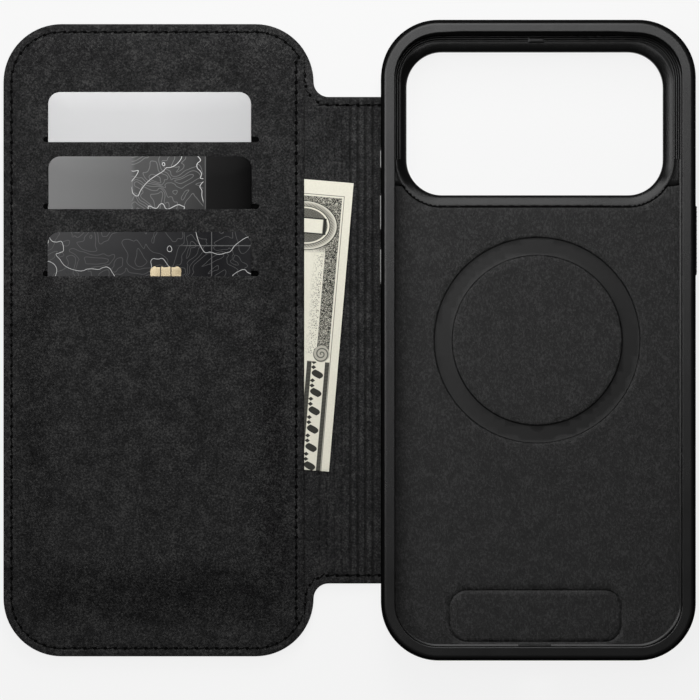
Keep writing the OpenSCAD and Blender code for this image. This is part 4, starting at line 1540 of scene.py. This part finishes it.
@dataclass
class Contents:
    """Cards in the slots and the folded note in its pocket."""

    at: Places
    card_r: float = 3.18
    note_w: float = 66.3
    note_l: float = 77.0
    note_turn: float = -4.9
    note_y: float = 6.25

    def card(self, node: str, body: str, look: CardLook) -> bpy.types.Object:
        """Makes one card over its CAD node.

        Args:
            node: CAD node of the card.
            body: Body that the card rides on.
            look: Printed face.

        Returns:
            The card.
        """
        lo, hi = self.at.box(node)
        loop = rounded_rect(lo[0], hi[0], lo[1], hi[1], self.card_r, 10)
        ink = PrintedCard(f"{look.value}_card_print", look, float(lo[0]), float(hi[0]), float(hi[1])).make()
        flat = lambda z: (lambda x, y: np.full_like(x, z))
        obj = Sheet(f"{node}_print", loop, flat(float(hi[2])), flat(float(lo[2])), step=8.0, round_top=0.14,
                    round_bottom=0.14).build(ink)
        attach(obj, body)
        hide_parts(node)
        return obj

    def chip(self) -> bpy.types.Object:
        """Makes the chip's contact plate.

        Returns:
            The plate.
        """
        lo, hi = self.at.box("chip_contact")
        cx, cy = (lo[0] + hi[0]) / 2, (lo[1] + hi[1]) / 2
        gold = ChipPlate("chip_gold", float(cx), float(cy), float(hi[0] - lo[0]),
                         float(hi[1] - lo[1])).make()
        loop = rounded_rect(lo[0], hi[0], lo[1], hi[1], 1.3, 8)
        obj = Sheet("chip_plate", loop, lambda x, y: np.full_like(x, hi[2] + 0.03),
                    lambda x, y: np.full_like(x, lo[2]), step=2.0, round_top=0.05,
                    round_bottom=0.02).build(gold)
        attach(obj, "card_c")
        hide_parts("chip_contact")
        return obj

    def note(self) -> bpy.types.Object:
        """Makes the folded note, two layers joined by the fold at its lower end.

        Returns:
            The note.
        """
        a = self.at
        cx = a.panel_x + 10.0 - self.note_w / 2
        t, gap = 0.085, 0.03
        l, w = self.note_l, self.note_w
        v = np.concatenate([np.arange(0, l, 1.3), [l]])
        r = t + gap / 2
        turn = np.radians(np.linspace(270, 90, 7))
        mid = 2.2
        lower = [(x, mid - gap / 2 - t) for x in v[::-1][:-1]]
        bend = [(r * math.cos(q), mid + r * math.sin(q)) for q in turn]
        upper = [(x, mid + gap / 2 + t) for x in v[1:]]
        back = [(x, mid + gap / 2) for x in v[::-1][:-1]]
        inner = [(gap / 2 * math.cos(q), mid + gap / 2 * math.sin(q)) for q in turn[::-1]]
        under = [(x, mid - gap / 2) for x in v[1:]]
        prof = np.array(lower + bend + upper + back + inner + under)
        us = np.concatenate([np.arange(0, w - 22, 3.0), np.linspace(w - 22, w, 56)])
        n, m = len(us), len(prof)
        rad = math.radians(self.note_turn)
        verts = np.zeros((n * m, 3))
        uvs = np.zeros((n * m, 2))
        for i, u in enumerate(us):
            px, py = u - w / 2, prof[:, 0] - l / 2
            x = cx + px * math.cos(rad) - py * math.sin(rad)
            y = self.note_y + px * math.sin(rad) + py * math.cos(rad)
            lift = 0.35 * soft((x - a.fold_b) / 8.0) ** 2
            wave = 0.05 * np.sin(y / 11.0) * soft((x - a.panel_x) / 3.0)
            sag = -0.06 * soft((x - a.fold_b - 0.5) / 2.0) * (1 - soft((x - a.fold_b - 2.5) / 4.0))
            verts[i * m:(i + 1) * m] = np.stack([x, y, prof[:, 1] + lift + wave + sag], 1)
            uvs[i * m:(i + 1) * m] = np.stack([np.full(m, u), prof[:, 0]], 1)
        faces = [(i * m + j, (i + 1) * m + j, (i + 1) * m + (j + 1) % m, i * m + (j + 1) % m)
                 for i in range(n - 1) for j in range(m)]
        k = m // 2
        for base in (0, (n - 1) * m):
            for j in range(k):
                q = (base + j, base + j + 1, base + m - 2 - j, base + m - 1 - j)
                if len(set(q)) == 4:
                    faces.append(q)
        paper = NotePaper("note_paper", w, l).make()
        obj = outward(new_piece("folded_note", verts, faces, paper, 60))
        layer = obj.data.uv_layers.new(name="note_map")
        idx = np.zeros(len(obj.data.loops), int)
        obj.data.loops.foreach_get("vertex_index", idx)
        layer.data.foreach_set("uv", (uvs[idx] * MM).astype(np.float32).ravel())
        a.bend_cover(obj)
        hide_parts("banknote_body", "banknote_tab")
        return obj

    def build(self) -> list[bpy.types.Object]:
        """Makes cards, chip and note.

        Returns:
            The pieces.
        """
        return [self.card("card_top", "card_a", CardLook.PALE),
                self.card("card_middle", "card_b", CardLook.RELIEF_MAP),
                self.card("card_bottom", "card_c", CardLook.DARK_MAP), self.chip(), self.note()]


@dataclass
class Tray:
    """Phone tray: edge moulding, camera surround, lining and buttons."""

    at: Places
    wall: float = 2.4
    lip_w: float = 3.75
    lip_t: float = 1.3
    lip_round: float = 1.4
    top_slim: float = 0.4
    floor: float = 2.7
    plate_top: float = 2.2
    ring: tuple[float, float] = (22.6, 27.4)
    deboss: float = 0.25
    key_z: float = 7.075
    pad_x: float = 49.6
    port_shift: float = 0.65
    port_half: float = 4.35
    port_top: float = 9.35
    speaker_x: float = 19.0
    speaker_half: float = 6.2
    notch_shift: float = 1.1
    notch_half: float = 2.3
    key_half: float = 1.7
    key_gap: float = 0.15
    keys: tuple[tuple[str, str, float, float, int], ...] = (
        ("action_button", "action_key", 47.95, 6.5, -1), ("volume_up_button", "up_key", 33.75, 10.8, -1),
        ("volume_down_button", "down_key", 19.43, 10.85, -1), ("side_button", "side_key", 26.4, 18.6, 1))

    def section(self) -> Array:
        """Section of the edge moulding (distance inwards, height), outer side first."""
        h, w, lw = self.at.shell_h, self.wall, self.lip_w
        under = h - self.lip_t
        q = lambda cx, cz, r, a0, a1, n: arc(cx, cz, r, a0, a1, n)
        ridge = under - 2.6
        rows = [np.array([[w, 1.0], [1.2, 1.0]]), q(1.4, 1.65, 1.4, 262, 180, 8), np.array([[0.0, 6.0]]),
                q(self.lip_round, h - self.lip_round, self.lip_round, 180, 90, 8),
                np.array([[self.lip_round + 0.12, h], [lw - 0.4, h]]),
                q(lw - 0.28, h - 0.28, 0.28, 90, 0, 5), q(lw - 0.15, under + 0.15, 0.15, 0, -90, 3),
                np.array([[w + 0.25, under - 0.02], [w, under - 0.3]]),
                np.array([[w, ridge + 0.9], [w + 0.22, ridge + 0.7], [w + 0.22, ridge + 0.45],
                          [w, ridge + 0.3], [w, ridge - 0.5], [w + 0.2, ridge - 0.7],
                          [w + 0.2, ridge - 0.95], [w, ridge - 1.1]]),
                np.array([[w, 2.5]])]
        return np.concatenate(rows)

    def wall_foot(self, finish: bpy.types.Material) -> bpy.types.Object:
        """Makes the hollow fillet where the wall meets the floor.

        Args:
            finish: Polymer of the surround.

        Returns:
            The fillet.
        """
        a, w, r = self.at, self.wall, 1.45
        path = respace(rounded_rect(a.shell_x0, a.shell_x1, -a.shell_y, a.shell_y, a.shell_r, 22), 6.0)
        rows = [np.array([[w - 0.3, self.floor + r]]), arc(w + r, self.floor + r + 0.02, r, 180, 268, 9),
                np.array([[w + r, 2.4], [w - 0.3, 2.4]])]
        obj = outward(swept_ring("tray_wall_foot", path, np.concatenate(rows), finish))
        cx = (a.shell_x0 + a.shell_x1) / 2 - self.port_shift
        carve(obj, [block("port_relief", (cx - self.port_half, -a.shell_y + 2.0, 2.3),
                          (cx + self.port_half, -a.shell_y + 6, self.port_top))])
        obj.data.shade_smooth()
        obj.data.set_sharp_from_angle(angle=math.radians(40))
        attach(obj, "shell")
        return obj

    def moulding(self, finish: bpy.types.Material) -> bpy.types.Object:
        """Makes the edge moulding with its windows, port and notch.

        Args:
            finish: Polymer of the moulding.

        Returns:
            The moulding.
        """
        a = self.at
        path = respace(rounded_rect(a.shell_x0, a.shell_x1, -a.shell_y, a.shell_y, a.shell_r, 22), 6.0)
        obj = outward(swept_ring("tray_edge_moulding", path, self.section(), finish))
        co = np.zeros(len(obj.data.vertices) * 3)
        obj.data.vertices.foreach_get("co", co)
        co = co.reshape(-1, 3) / MM
        slim = (soft((a.shell_y - co[:, 1] - 1.8) / 1.4) * soft((co[:, 1] - a.shell_y + 7.0) / 3.0)
                * (co[:, 2] > 10.0))
        mid = (a.shell_x0 + a.shell_x1) / 2
        slim *= soft(((a.shell_x1 - a.shell_x0) / 2 - 12.0 - np.abs(co[:, 0] - mid)) / 9.0)
        co[:, 1] += self.top_slim * slim
        obj.data.vertices.foreach_set("co", (co * MM).ravel())
        cut: list[bpy.types.Object] = []
        s = a.spine_y + 0.5
        cut.append(block("tongue", (a.shell_x0 - 1, -s, -1), (a.shell_x0 + self.wall + 0.2, s, 1.95)))
        for _, _, y, l, side in self.keys:
            x = a.shell_x0 if side < 0 else a.shell_x1
            g = self.key_gap
            cut.append(block("window", (x - 3.2, y - l / 2 - g, self.key_z - self.key_half - g),
                             (x + 3.2, y + l / 2 + g, self.key_z + self.key_half + g)))
            inner = (x + 0.95, x + 3.4) if side < 0 else (x - 3.4, x - 0.95)
            cut.append(block("recess", (inner[0], y - l / 2 - 0.65, self.key_z - 2.35),
                             (inner[1], y + l / 2 + 0.65, self.key_z + 2.35)))
        cx = (a.shell_x0 + a.shell_x1) / 2
        port_x, notch_x = cx - self.port_shift, cx - self.notch_shift
        cut.append(block("port", (port_x - self.port_half, -a.shell_y - 2, 4.0),
                         (port_x + self.port_half, -a.shell_y + 4, self.port_top)))
        cut.append(block("port_relief", (port_x - self.port_half, -a.shell_y + 2.2, 2.77),
                         (port_x + self.port_half, -a.shell_y + 6, self.port_top)))
        for k in (-1, 1):
            slit_x = cx + k * self.speaker_x
            cut.append(block("speaker", (slit_x - self.speaker_half, -a.shell_y - 2, 5.8),
                             (slit_x + self.speaker_half, -a.shell_y + 4, 7.55)))
        cut.append(block("notch", (notch_x - self.notch_half, a.shell_y - 3.6, 4.6),
                         (notch_x + self.notch_half, a.shell_y - 1.6, 9.6)))
        carve(obj, cut)
        obj.data.shade_smooth()
        obj.data.set_sharp_from_angle(angle=math.radians(40))
        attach(obj, "shell")
        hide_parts("shell_bumper")
        return obj

    def frame_loop(self, grow: float = 0.0) -> Array:
        """Outer outline of the band round the camera opening."""
        return camera_hole(self.at, 3.3 + grow)

    def surround(self, finish: bpy.types.Material) -> bpy.types.Object:
        """Makes the camera surround with its rounded crest.

        Args:
            finish: Polymer of the surround.

        Returns:
            The surround.
        """
        a = self.at
        lo, hi = a.box("camera_surround")
        x0, x1, y1 = float(lo[0]), float(hi[0]), float(hi[1])
        hole = camera_hole(a)
        frame = self.frame_loop()
        tip = self.tip_y()
        low = frame[frame[:, 1] < tip]
        low = low[np.argsort(low[:, 0])]
        r = a.shell_r - self.wall
        loop = np.concatenate([np.array([[x0, tip]]), low, np.array([[x1, tip]]),
                               arc(x1 - r, y1 - r, r, 0, 90, 14), arc(x0 + r, y1 - r, r, 90, 180, 14)])

        def top(x: Array, y: Array) -> Array:
            """Crest and slopes by distance from the opening."""
            d = gap_to(np.stack([x, y], 1), hole)
            mid = (a.shell_x0 + a.shell_x1) / 2
            side = (soft((np.abs(x - mid) - np.abs(hole[:, 0] - mid).max() + 4.0) / 4.5)
                    * soft((y - hole[:, 1].min()) / 6.0))
            slope = (0.42 + 0.85 * side) * np.clip((2.75 - d) / 2.75, 0, 1) ** 1.7
            return 2.74 - slope - 0.22 * np.clip(0.9 - d, 0, 1) ** 2 - 0.05 * soft((d - 3.05) / 0.2)

        def bottom(x: Array, y: Array) -> Array:
            """Deep rim round the opening, thin plate elsewhere."""
            d = gap_to(np.stack([x, y], 1), hole)
            return np.where(d < 2.1, 0.06, self.plate_top)

        rings = [respace(camera_hole(a, g), 1.0)
                 for g in (0.3, 0.6, 0.9, 1.2, 1.5, 1.8, 2.08, 2.12, 2.4, 2.7, 2.98, 3.2)]
        rings = np.concatenate(rings)
        obj = Sheet("camera_surround_frame", loop, top, bottom, holes=[hole], step=1.5, round_top=0.2,
                    round_bottom=0.15, extra=rings[inside(rings, loop) & (gap_to(rings, loop) > 0.35)],
                    clear=lambda q: gap_to(q, hole) < 3.2).build(finish)
        obj = join_into("camera_surround_frame", [obj] + self.ledges(finish))
        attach(obj, "shell")
        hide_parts("camera_surround")
        return obj

    def ledges(self, finish: bpy.types.Material) -> list[bpy.types.Object]:
        """Makes the thin ledges between wall and surround, and the pad that crosses them.

        Args:
            finish: Polymer of the surround.

        Returns:
            The ledges and the pad.
        """
        a = self.at
        made = []
        for g, top, half in ((3.86, 3.08, 0.29), (4.44, 3.04, 0.29), (5.04, 2.98, 0.28)):
            r, y1 = a.shell_r - g, a.shell_y - g
            x0, x1 = a.shell_x0 + g, a.shell_x1 - g
            path = np.concatenate([[[x1, 48.2]], arc(x1 - r, y1 - r, r, 0, 90, 20),
                                   arc(x0 + r, y1 - r, r, 90, 180, 20), [[x0, 48.2]]])
            bar = np.array([[half, 2.35], [half, top - 0.14], [half * 0.84, top - 0.02],
                            [half * 0.66, top], [-half * 0.66, top], [-half * 0.84, top - 0.02],
                            [-half, top - 0.14], [-half, 2.35]])
            made.append(swept_bar(f"ledge_{g}", even(path, 2.0), bar, finish))
        y = a.shell_y - 4.75
        pad = Sheet("ledge_pad",
                    rounded_rect(self.pad_x - 2.15, self.pad_x + 2.15, y - 0.85, y + 0.85, 0.25, 4),
                    lambda u, v: np.full_like(u, 3.06), lambda u, v: np.full_like(u, 2.4), step=0.8,
                    round_top=0.12, round_bottom=0.02).build(finish)
        return made + [pad]

    def tip_y(self) -> float:
        """Y at which the lining's side tips end."""
        return float(self.at.box("shell_lining")[1][1])

    def lining(self, finish: bpy.types.Material) -> bpy.types.Object:
        """Makes the microfibre lining with the pressed ring and tag outline.

        Args:
            finish: Microfibre.

        Returns:
            The lining.
        """
        a = self.at
        lo, hi = a.box("shell_lining")
        x0, x1, y0, tip = float(lo[0]), float(hi[0]), float(lo[1]), float(hi[1])
        r = a.shell_r - self.wall
        frame = self.frame_loop(0.04)
        low = frame[frame[:, 1] < tip - 0.3]
        low = low[np.argsort(-low[:, 0])]
        loop = np.concatenate([arc(x0 + r, y0 + r, r, 180, 270, 14), arc(x1 - r, y0 + r, r, 270, 360, 14),
                               arc(x1 - 1.6, tip - 1.6, 1.6, 0, 60, 4), low,
                               arc(x0 + 1.6, tip - 1.6, 1.6, 120, 180, 4)])
        cx = (a.shell_x0 + a.shell_x1) / 2
        ri, ro = self.ring
        tlo, thi = a.box("nfc_tag")
        tag = rounded_rect(tlo[0], thi[0], tlo[1], thi[1], 4.6, 10)

        def top(x: Array, y: Array) -> Array:
            """Lining face with its pressed marks."""
            rad = np.hypot(x - cx, y)
            ring = soft((rad - ri) / 0.35 + 0.5) * soft((ro - rad) / 0.35 + 0.5)
            g = gap_to(np.stack([x, y], 1), respace(tag, 1.5))
            return self.floor - self.deboss * ring - 0.16 * dip(g - 0.0, 0.28)

        circles = [arc(cx, 0, q + d, 0, 360, 240)[:-1] for q in (ri, ro)
                   for d in (-0.25, -0.1, 0.0, 0.1, 0.25)]
        marks = [respace(rounded_rect(tlo[0] - g, thi[0] + g, tlo[1] - g, thi[1] + g, 4.6 + g, 10), 0.9)
                 for g in (-0.5, -0.25, 0, 0.25, 0.5)]
        near = lambda q: (np.abs(np.hypot(q[:, 0] - cx, q[:, 1]) - ri) < 0.55) | (
            np.abs(np.hypot(q[:, 0] - cx, q[:, 1]) - ro) < 0.55) | (gap_to(q, tag) < 0.8)
        obj = Sheet("tray_microfibre", loop, top, lambda x, y: np.full_like(x, self.plate_top), step=1.6,
                    round_top=0.12, round_bottom=0.05, extra=np.concatenate(circles + marks),
                    clear=near).build(finish)
        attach(obj, "shell")
        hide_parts("shell_lining")
        return obj

    def button(self, key: tuple[str, str, float, float, int],
               finish: bpy.types.Material) -> list[bpy.types.Object]:
        """Makes one button cap with its inner flange.

        Args:
            key: Node, body, Y, length and side of the button.
            finish: Polished polymer.

        Returns:
            The cap, and its ribs where it has them.
        """
        node, body, y, l, side = key
        a = self.at
        face = a.shell_x0 if side < 0 else a.shell_x1
        cap = Sheet(node + "_cap", rounded_rect(y - l / 2, y + l / 2, self.key_z - self.key_half,
                                                self.key_z + self.key_half, 1.0, 8),
                    lambda u, v: np.full_like(u, 0.5), lambda u, v: np.full_like(u, -1.12), step=0.9,
                    round_top=0.38, round_bottom=0.02).build(finish)
        flange = Sheet(node + "_flange", rounded_rect(y - l / 2 - 0.5, y + l / 2 + 0.5,
                                                      self.key_z - 2.2, self.key_z + 2.2, 0.4, 4),
                       lambda u, v: np.full_like(u, -1.1), lambda u, v: np.full_like(u, -1.6), step=1.5,
                       round_top=0.05, round_bottom=0.05).build(finish)
        obj = join_into(node + "_cap", [cap, flange])
        turn = np.zeros((len(obj.data.vertices), 3))
        co = np.zeros(len(obj.data.vertices) * 3)
        obj.data.vertices.foreach_get("co", co)
        co = co.reshape(-1, 3)
        turn[:, 0] = face * MM + side * co[:, 2]
        turn[:, 1] = co[:, 0]
        turn[:, 2] = co[:, 1]
        obj.data.vertices.foreach_set("co", turn.ravel())
        outward(obj)
        made = [obj]
        if node == "side_button":
            x = face + side * 0.44
            rail = even(np.array([[x, y - 7 * 1.17, self.key_z], [x, y + 7.5 * 1.17, self.key_z]]), 0.3)
            ribs = RowOfForms("side_button_ribs", [rail], 1.17, (0.72, 0.34, 3.0), finish,
                              0.0, 0.0, 10, 7).build()
            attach(ribs, body)
            made.append(ribs)
        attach(obj, body)
        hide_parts(node)
        return made

    def build(self, edge: bpy.types.Material, frame: bpy.types.Material, pile: bpy.types.Material,
              polished: bpy.types.Material) -> list[bpy.types.Object]:
        """Makes all visible pieces of the tray.

        Args:
            edge: Moulding finish.
            frame: Surround finish.
            pile: Lining finish.
            polished: Button finish.

        Returns:
            The pieces.
        """
        made = [self.moulding(edge), self.wall_foot(frame), self.surround(frame), self.lining(pile)]
        for key in self.keys:
            made += self.button(key, polished)
        return made


@dataclass
class HiddenWorks:
    """CAD nodes that stay and only get their finish."""

    nodes: dict

    def dress(self, node: str, finish: bpy.types.Material) -> None:
        """Gives a CAD node a finish."""
        data = self.nodes[node].data
        data.materials.clear()
        data.materials.append(finish)

    def build(self, at: Places) -> None:
        """Dresses plate, magnets, tag, stiffener and pocket linings; the linings' near-black colour is
        partly their black cloth and partly painted shade inside the pockets.

        Args:
            at: Places of the case.
        """
        lo, hi = at.box("nfc_tag")
        mid, half = (lo + hi) / 2, (hi - lo) / 2
        self.dress("back_plate", Polymer("plate_polymer", 0.03, 0.5, 0.4, 0.4).make())
        self.dress("magnet_ring", Metal("magnet_nickel", (0.62, 0.6, 0.57), 0.32).make())
        self.dress("nfc_tag", CopperCoil("tag_coil", *map(float, (mid[0], mid[1], half[0],
                                                                  half[1]))).make())
        self.dress("cover_stiffener", Board("pressed_board", (0.3, 0.26, 0.2), 0.6).make())
        # The pocket linings are black cloth made darker than cloth is, so their colour also paints the
        # shade seen in the pockets through the slots.
        lining = Board("pocket_cloth_and_shade", (0.0025, 0.0025, 0.0026), 0.25).make()
        for node in ("pocket_liner_top", "pocket_liner_middle", "pocket_liner_bottom"):
            self.dress(node, lining)


@dataclass
class Studio:
    """Pale floor, soft lights and the camera above the case."""

    height: float = 1300.0
    aim: tuple[float, float] = (0.09, -2.6)
    back: float = 0.0
    view_deg: float = 8.214
    floor_tone: float = 0.06
    floor_glow: float = 0.85

    def build(self) -> None:
        """Makes floor, lights, world and camera."""
        p = Paint("pale_floor", 0.9, 0.1)
        speck = p.noise(p.place(), 2.0, 3.0)
        t = self.floor_tone
        p.finish(p.tones(speck, (0.0, (t * 0.99,) * 3), (1.0, (t, t, t))))
        p.bsdf.inputs["Emission Color"].default_value = (1, 1, 1, 1)
        p.bsdf.inputs["Emission Strength"].default_value = self.floor_glow
        mesh = bpy.data.meshes.new("studio_floor")
        s = 3.0
        mesh.from_pydata([(-s, -s, -0.0004), (s, -s, -0.0004), (s, s, -0.0004), (-s, s, -0.0004)],
                         [], [(0, 1, 2, 3)])
        mesh.materials.append(p.mat)
        floor = bpy.data.objects.new("studio_floor", mesh)
        bpy.context.scene.collection.objects.link(floor)
        self.light("key_softbox", (0.0, 0.23, 0.2), (0, 0.03, 0), (0.18, 0.18), 0.95, False)
        self.light("left_softbox", (-0.34, 0.1, 0.72), (0, 0.03, 0), (0.2, 0.4), 1.2)
        self.light("overhead_softbox", (-0.05, 0.62, 1.6), (0, 0.1, 0), (0.62, 1.1), 8.5)
        world = bpy.data.worlds.new("studio_world")
        world.use_nodes = True
        world.node_tree.nodes["Background"].inputs[0].default_value = (1, 1, 1, 1)
        world.node_tree.nodes["Background"].inputs[1].default_value = 0.08
        scene = bpy.context.scene
        scene.world = world
        scene.view_settings.view_transform = "Standard"
        cam = bpy.data.objects.new("camera", bpy.data.cameras.new("camera"))
        scene.collection.objects.link(cam)
        cam.data.angle = math.radians(self.view_deg)
        cam.data.clip_start = 0.01
        eye = Vector((self.aim[0], self.aim[1] - self.back, self.height)) * MM
        look = Vector((self.aim[0], self.aim[1], 4.0)) * MM - eye
        cam.matrix_world = Matrix.Translation(eye) @ self.facing(look)
        scene.camera = cam

    @staticmethod
    def facing(look: Vector) -> Matrix:
        """Camera turn that looks along a direction with the picture's up towards +Y."""
        z = -look.normalized()
        x = Vector((0, 1, 0)).cross(z).normalized()
        y = z.cross(x)
        return Matrix((x, y, z)).transposed().to_4x4()

    def light(self, name: str, pos: Sequence[float], aim: Sequence[float], size: tuple[float, float],
              power: float, mirrored: bool = True) -> None:
        """Adds a rectangular area light.

        Args:
            name: Light name.
            pos: Place in metres.
            aim: Point it faces, in metres.
            size: Sides in metres.
            power: Power in watts.
            mirrored: Whether glossy surfaces reflect the lamp.
        """
        data = bpy.data.lights.new(name, "AREA")
        data.shape = "RECTANGLE"
        data.size, data.size_y = size
        data.energy = power
        lamp = bpy.data.objects.new(name, data)
        lamp.location = pos
        lamp.visible_glossy = mirrored
        lamp.rotation_euler = (Vector(aim) - Vector(pos)).to_track_quat("-Z", "Y").to_euler()
        bpy.context.scene.collection.objects.link(lamp)


def main() -> None:
    logging.basicConfig(level=logging.INFO, format="%(name)s: %(message)s")
    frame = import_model()
    at = Places.read(frame["joints"])
    Studio().build()
    leather = Leather("black_leather").make()
    inner = Leather("lining_leather", 0.0142, 0.36, 0.05).make()
    # hole is a near-black finish that paints the shade in needle holes and slot ends.
    thread, hole = Thread("seam_thread").make(), HoleShade("needle_hole_shade").make()
    made = Folio(at).build(leather, inner, thread, hole)
    made += CardPanel(at).build(leather, thread, hole)
    made += Contents(at).build()
    made += Tray(at).build(Polymer("soft_touch_black", 0.003, 0.25, 0.42, 0.3, at.shell_h - 0.03).make(),
                           Polymer("surround_black", 0.0018, 0.26, 0.34).make(),
                           Microfibre("tray_microfibre").make(),
                           Polymer("button_black", 0.012, 0.16, 0.8).make())
    HiddenWorks(frame["nodes"]).build(at)
    for obj in made:
        LOG.info("%s: %d faces, %s", obj.name, len(obj.data.polygons), obj.data.materials[0].name)


if __name__ == "__main__":
    main()
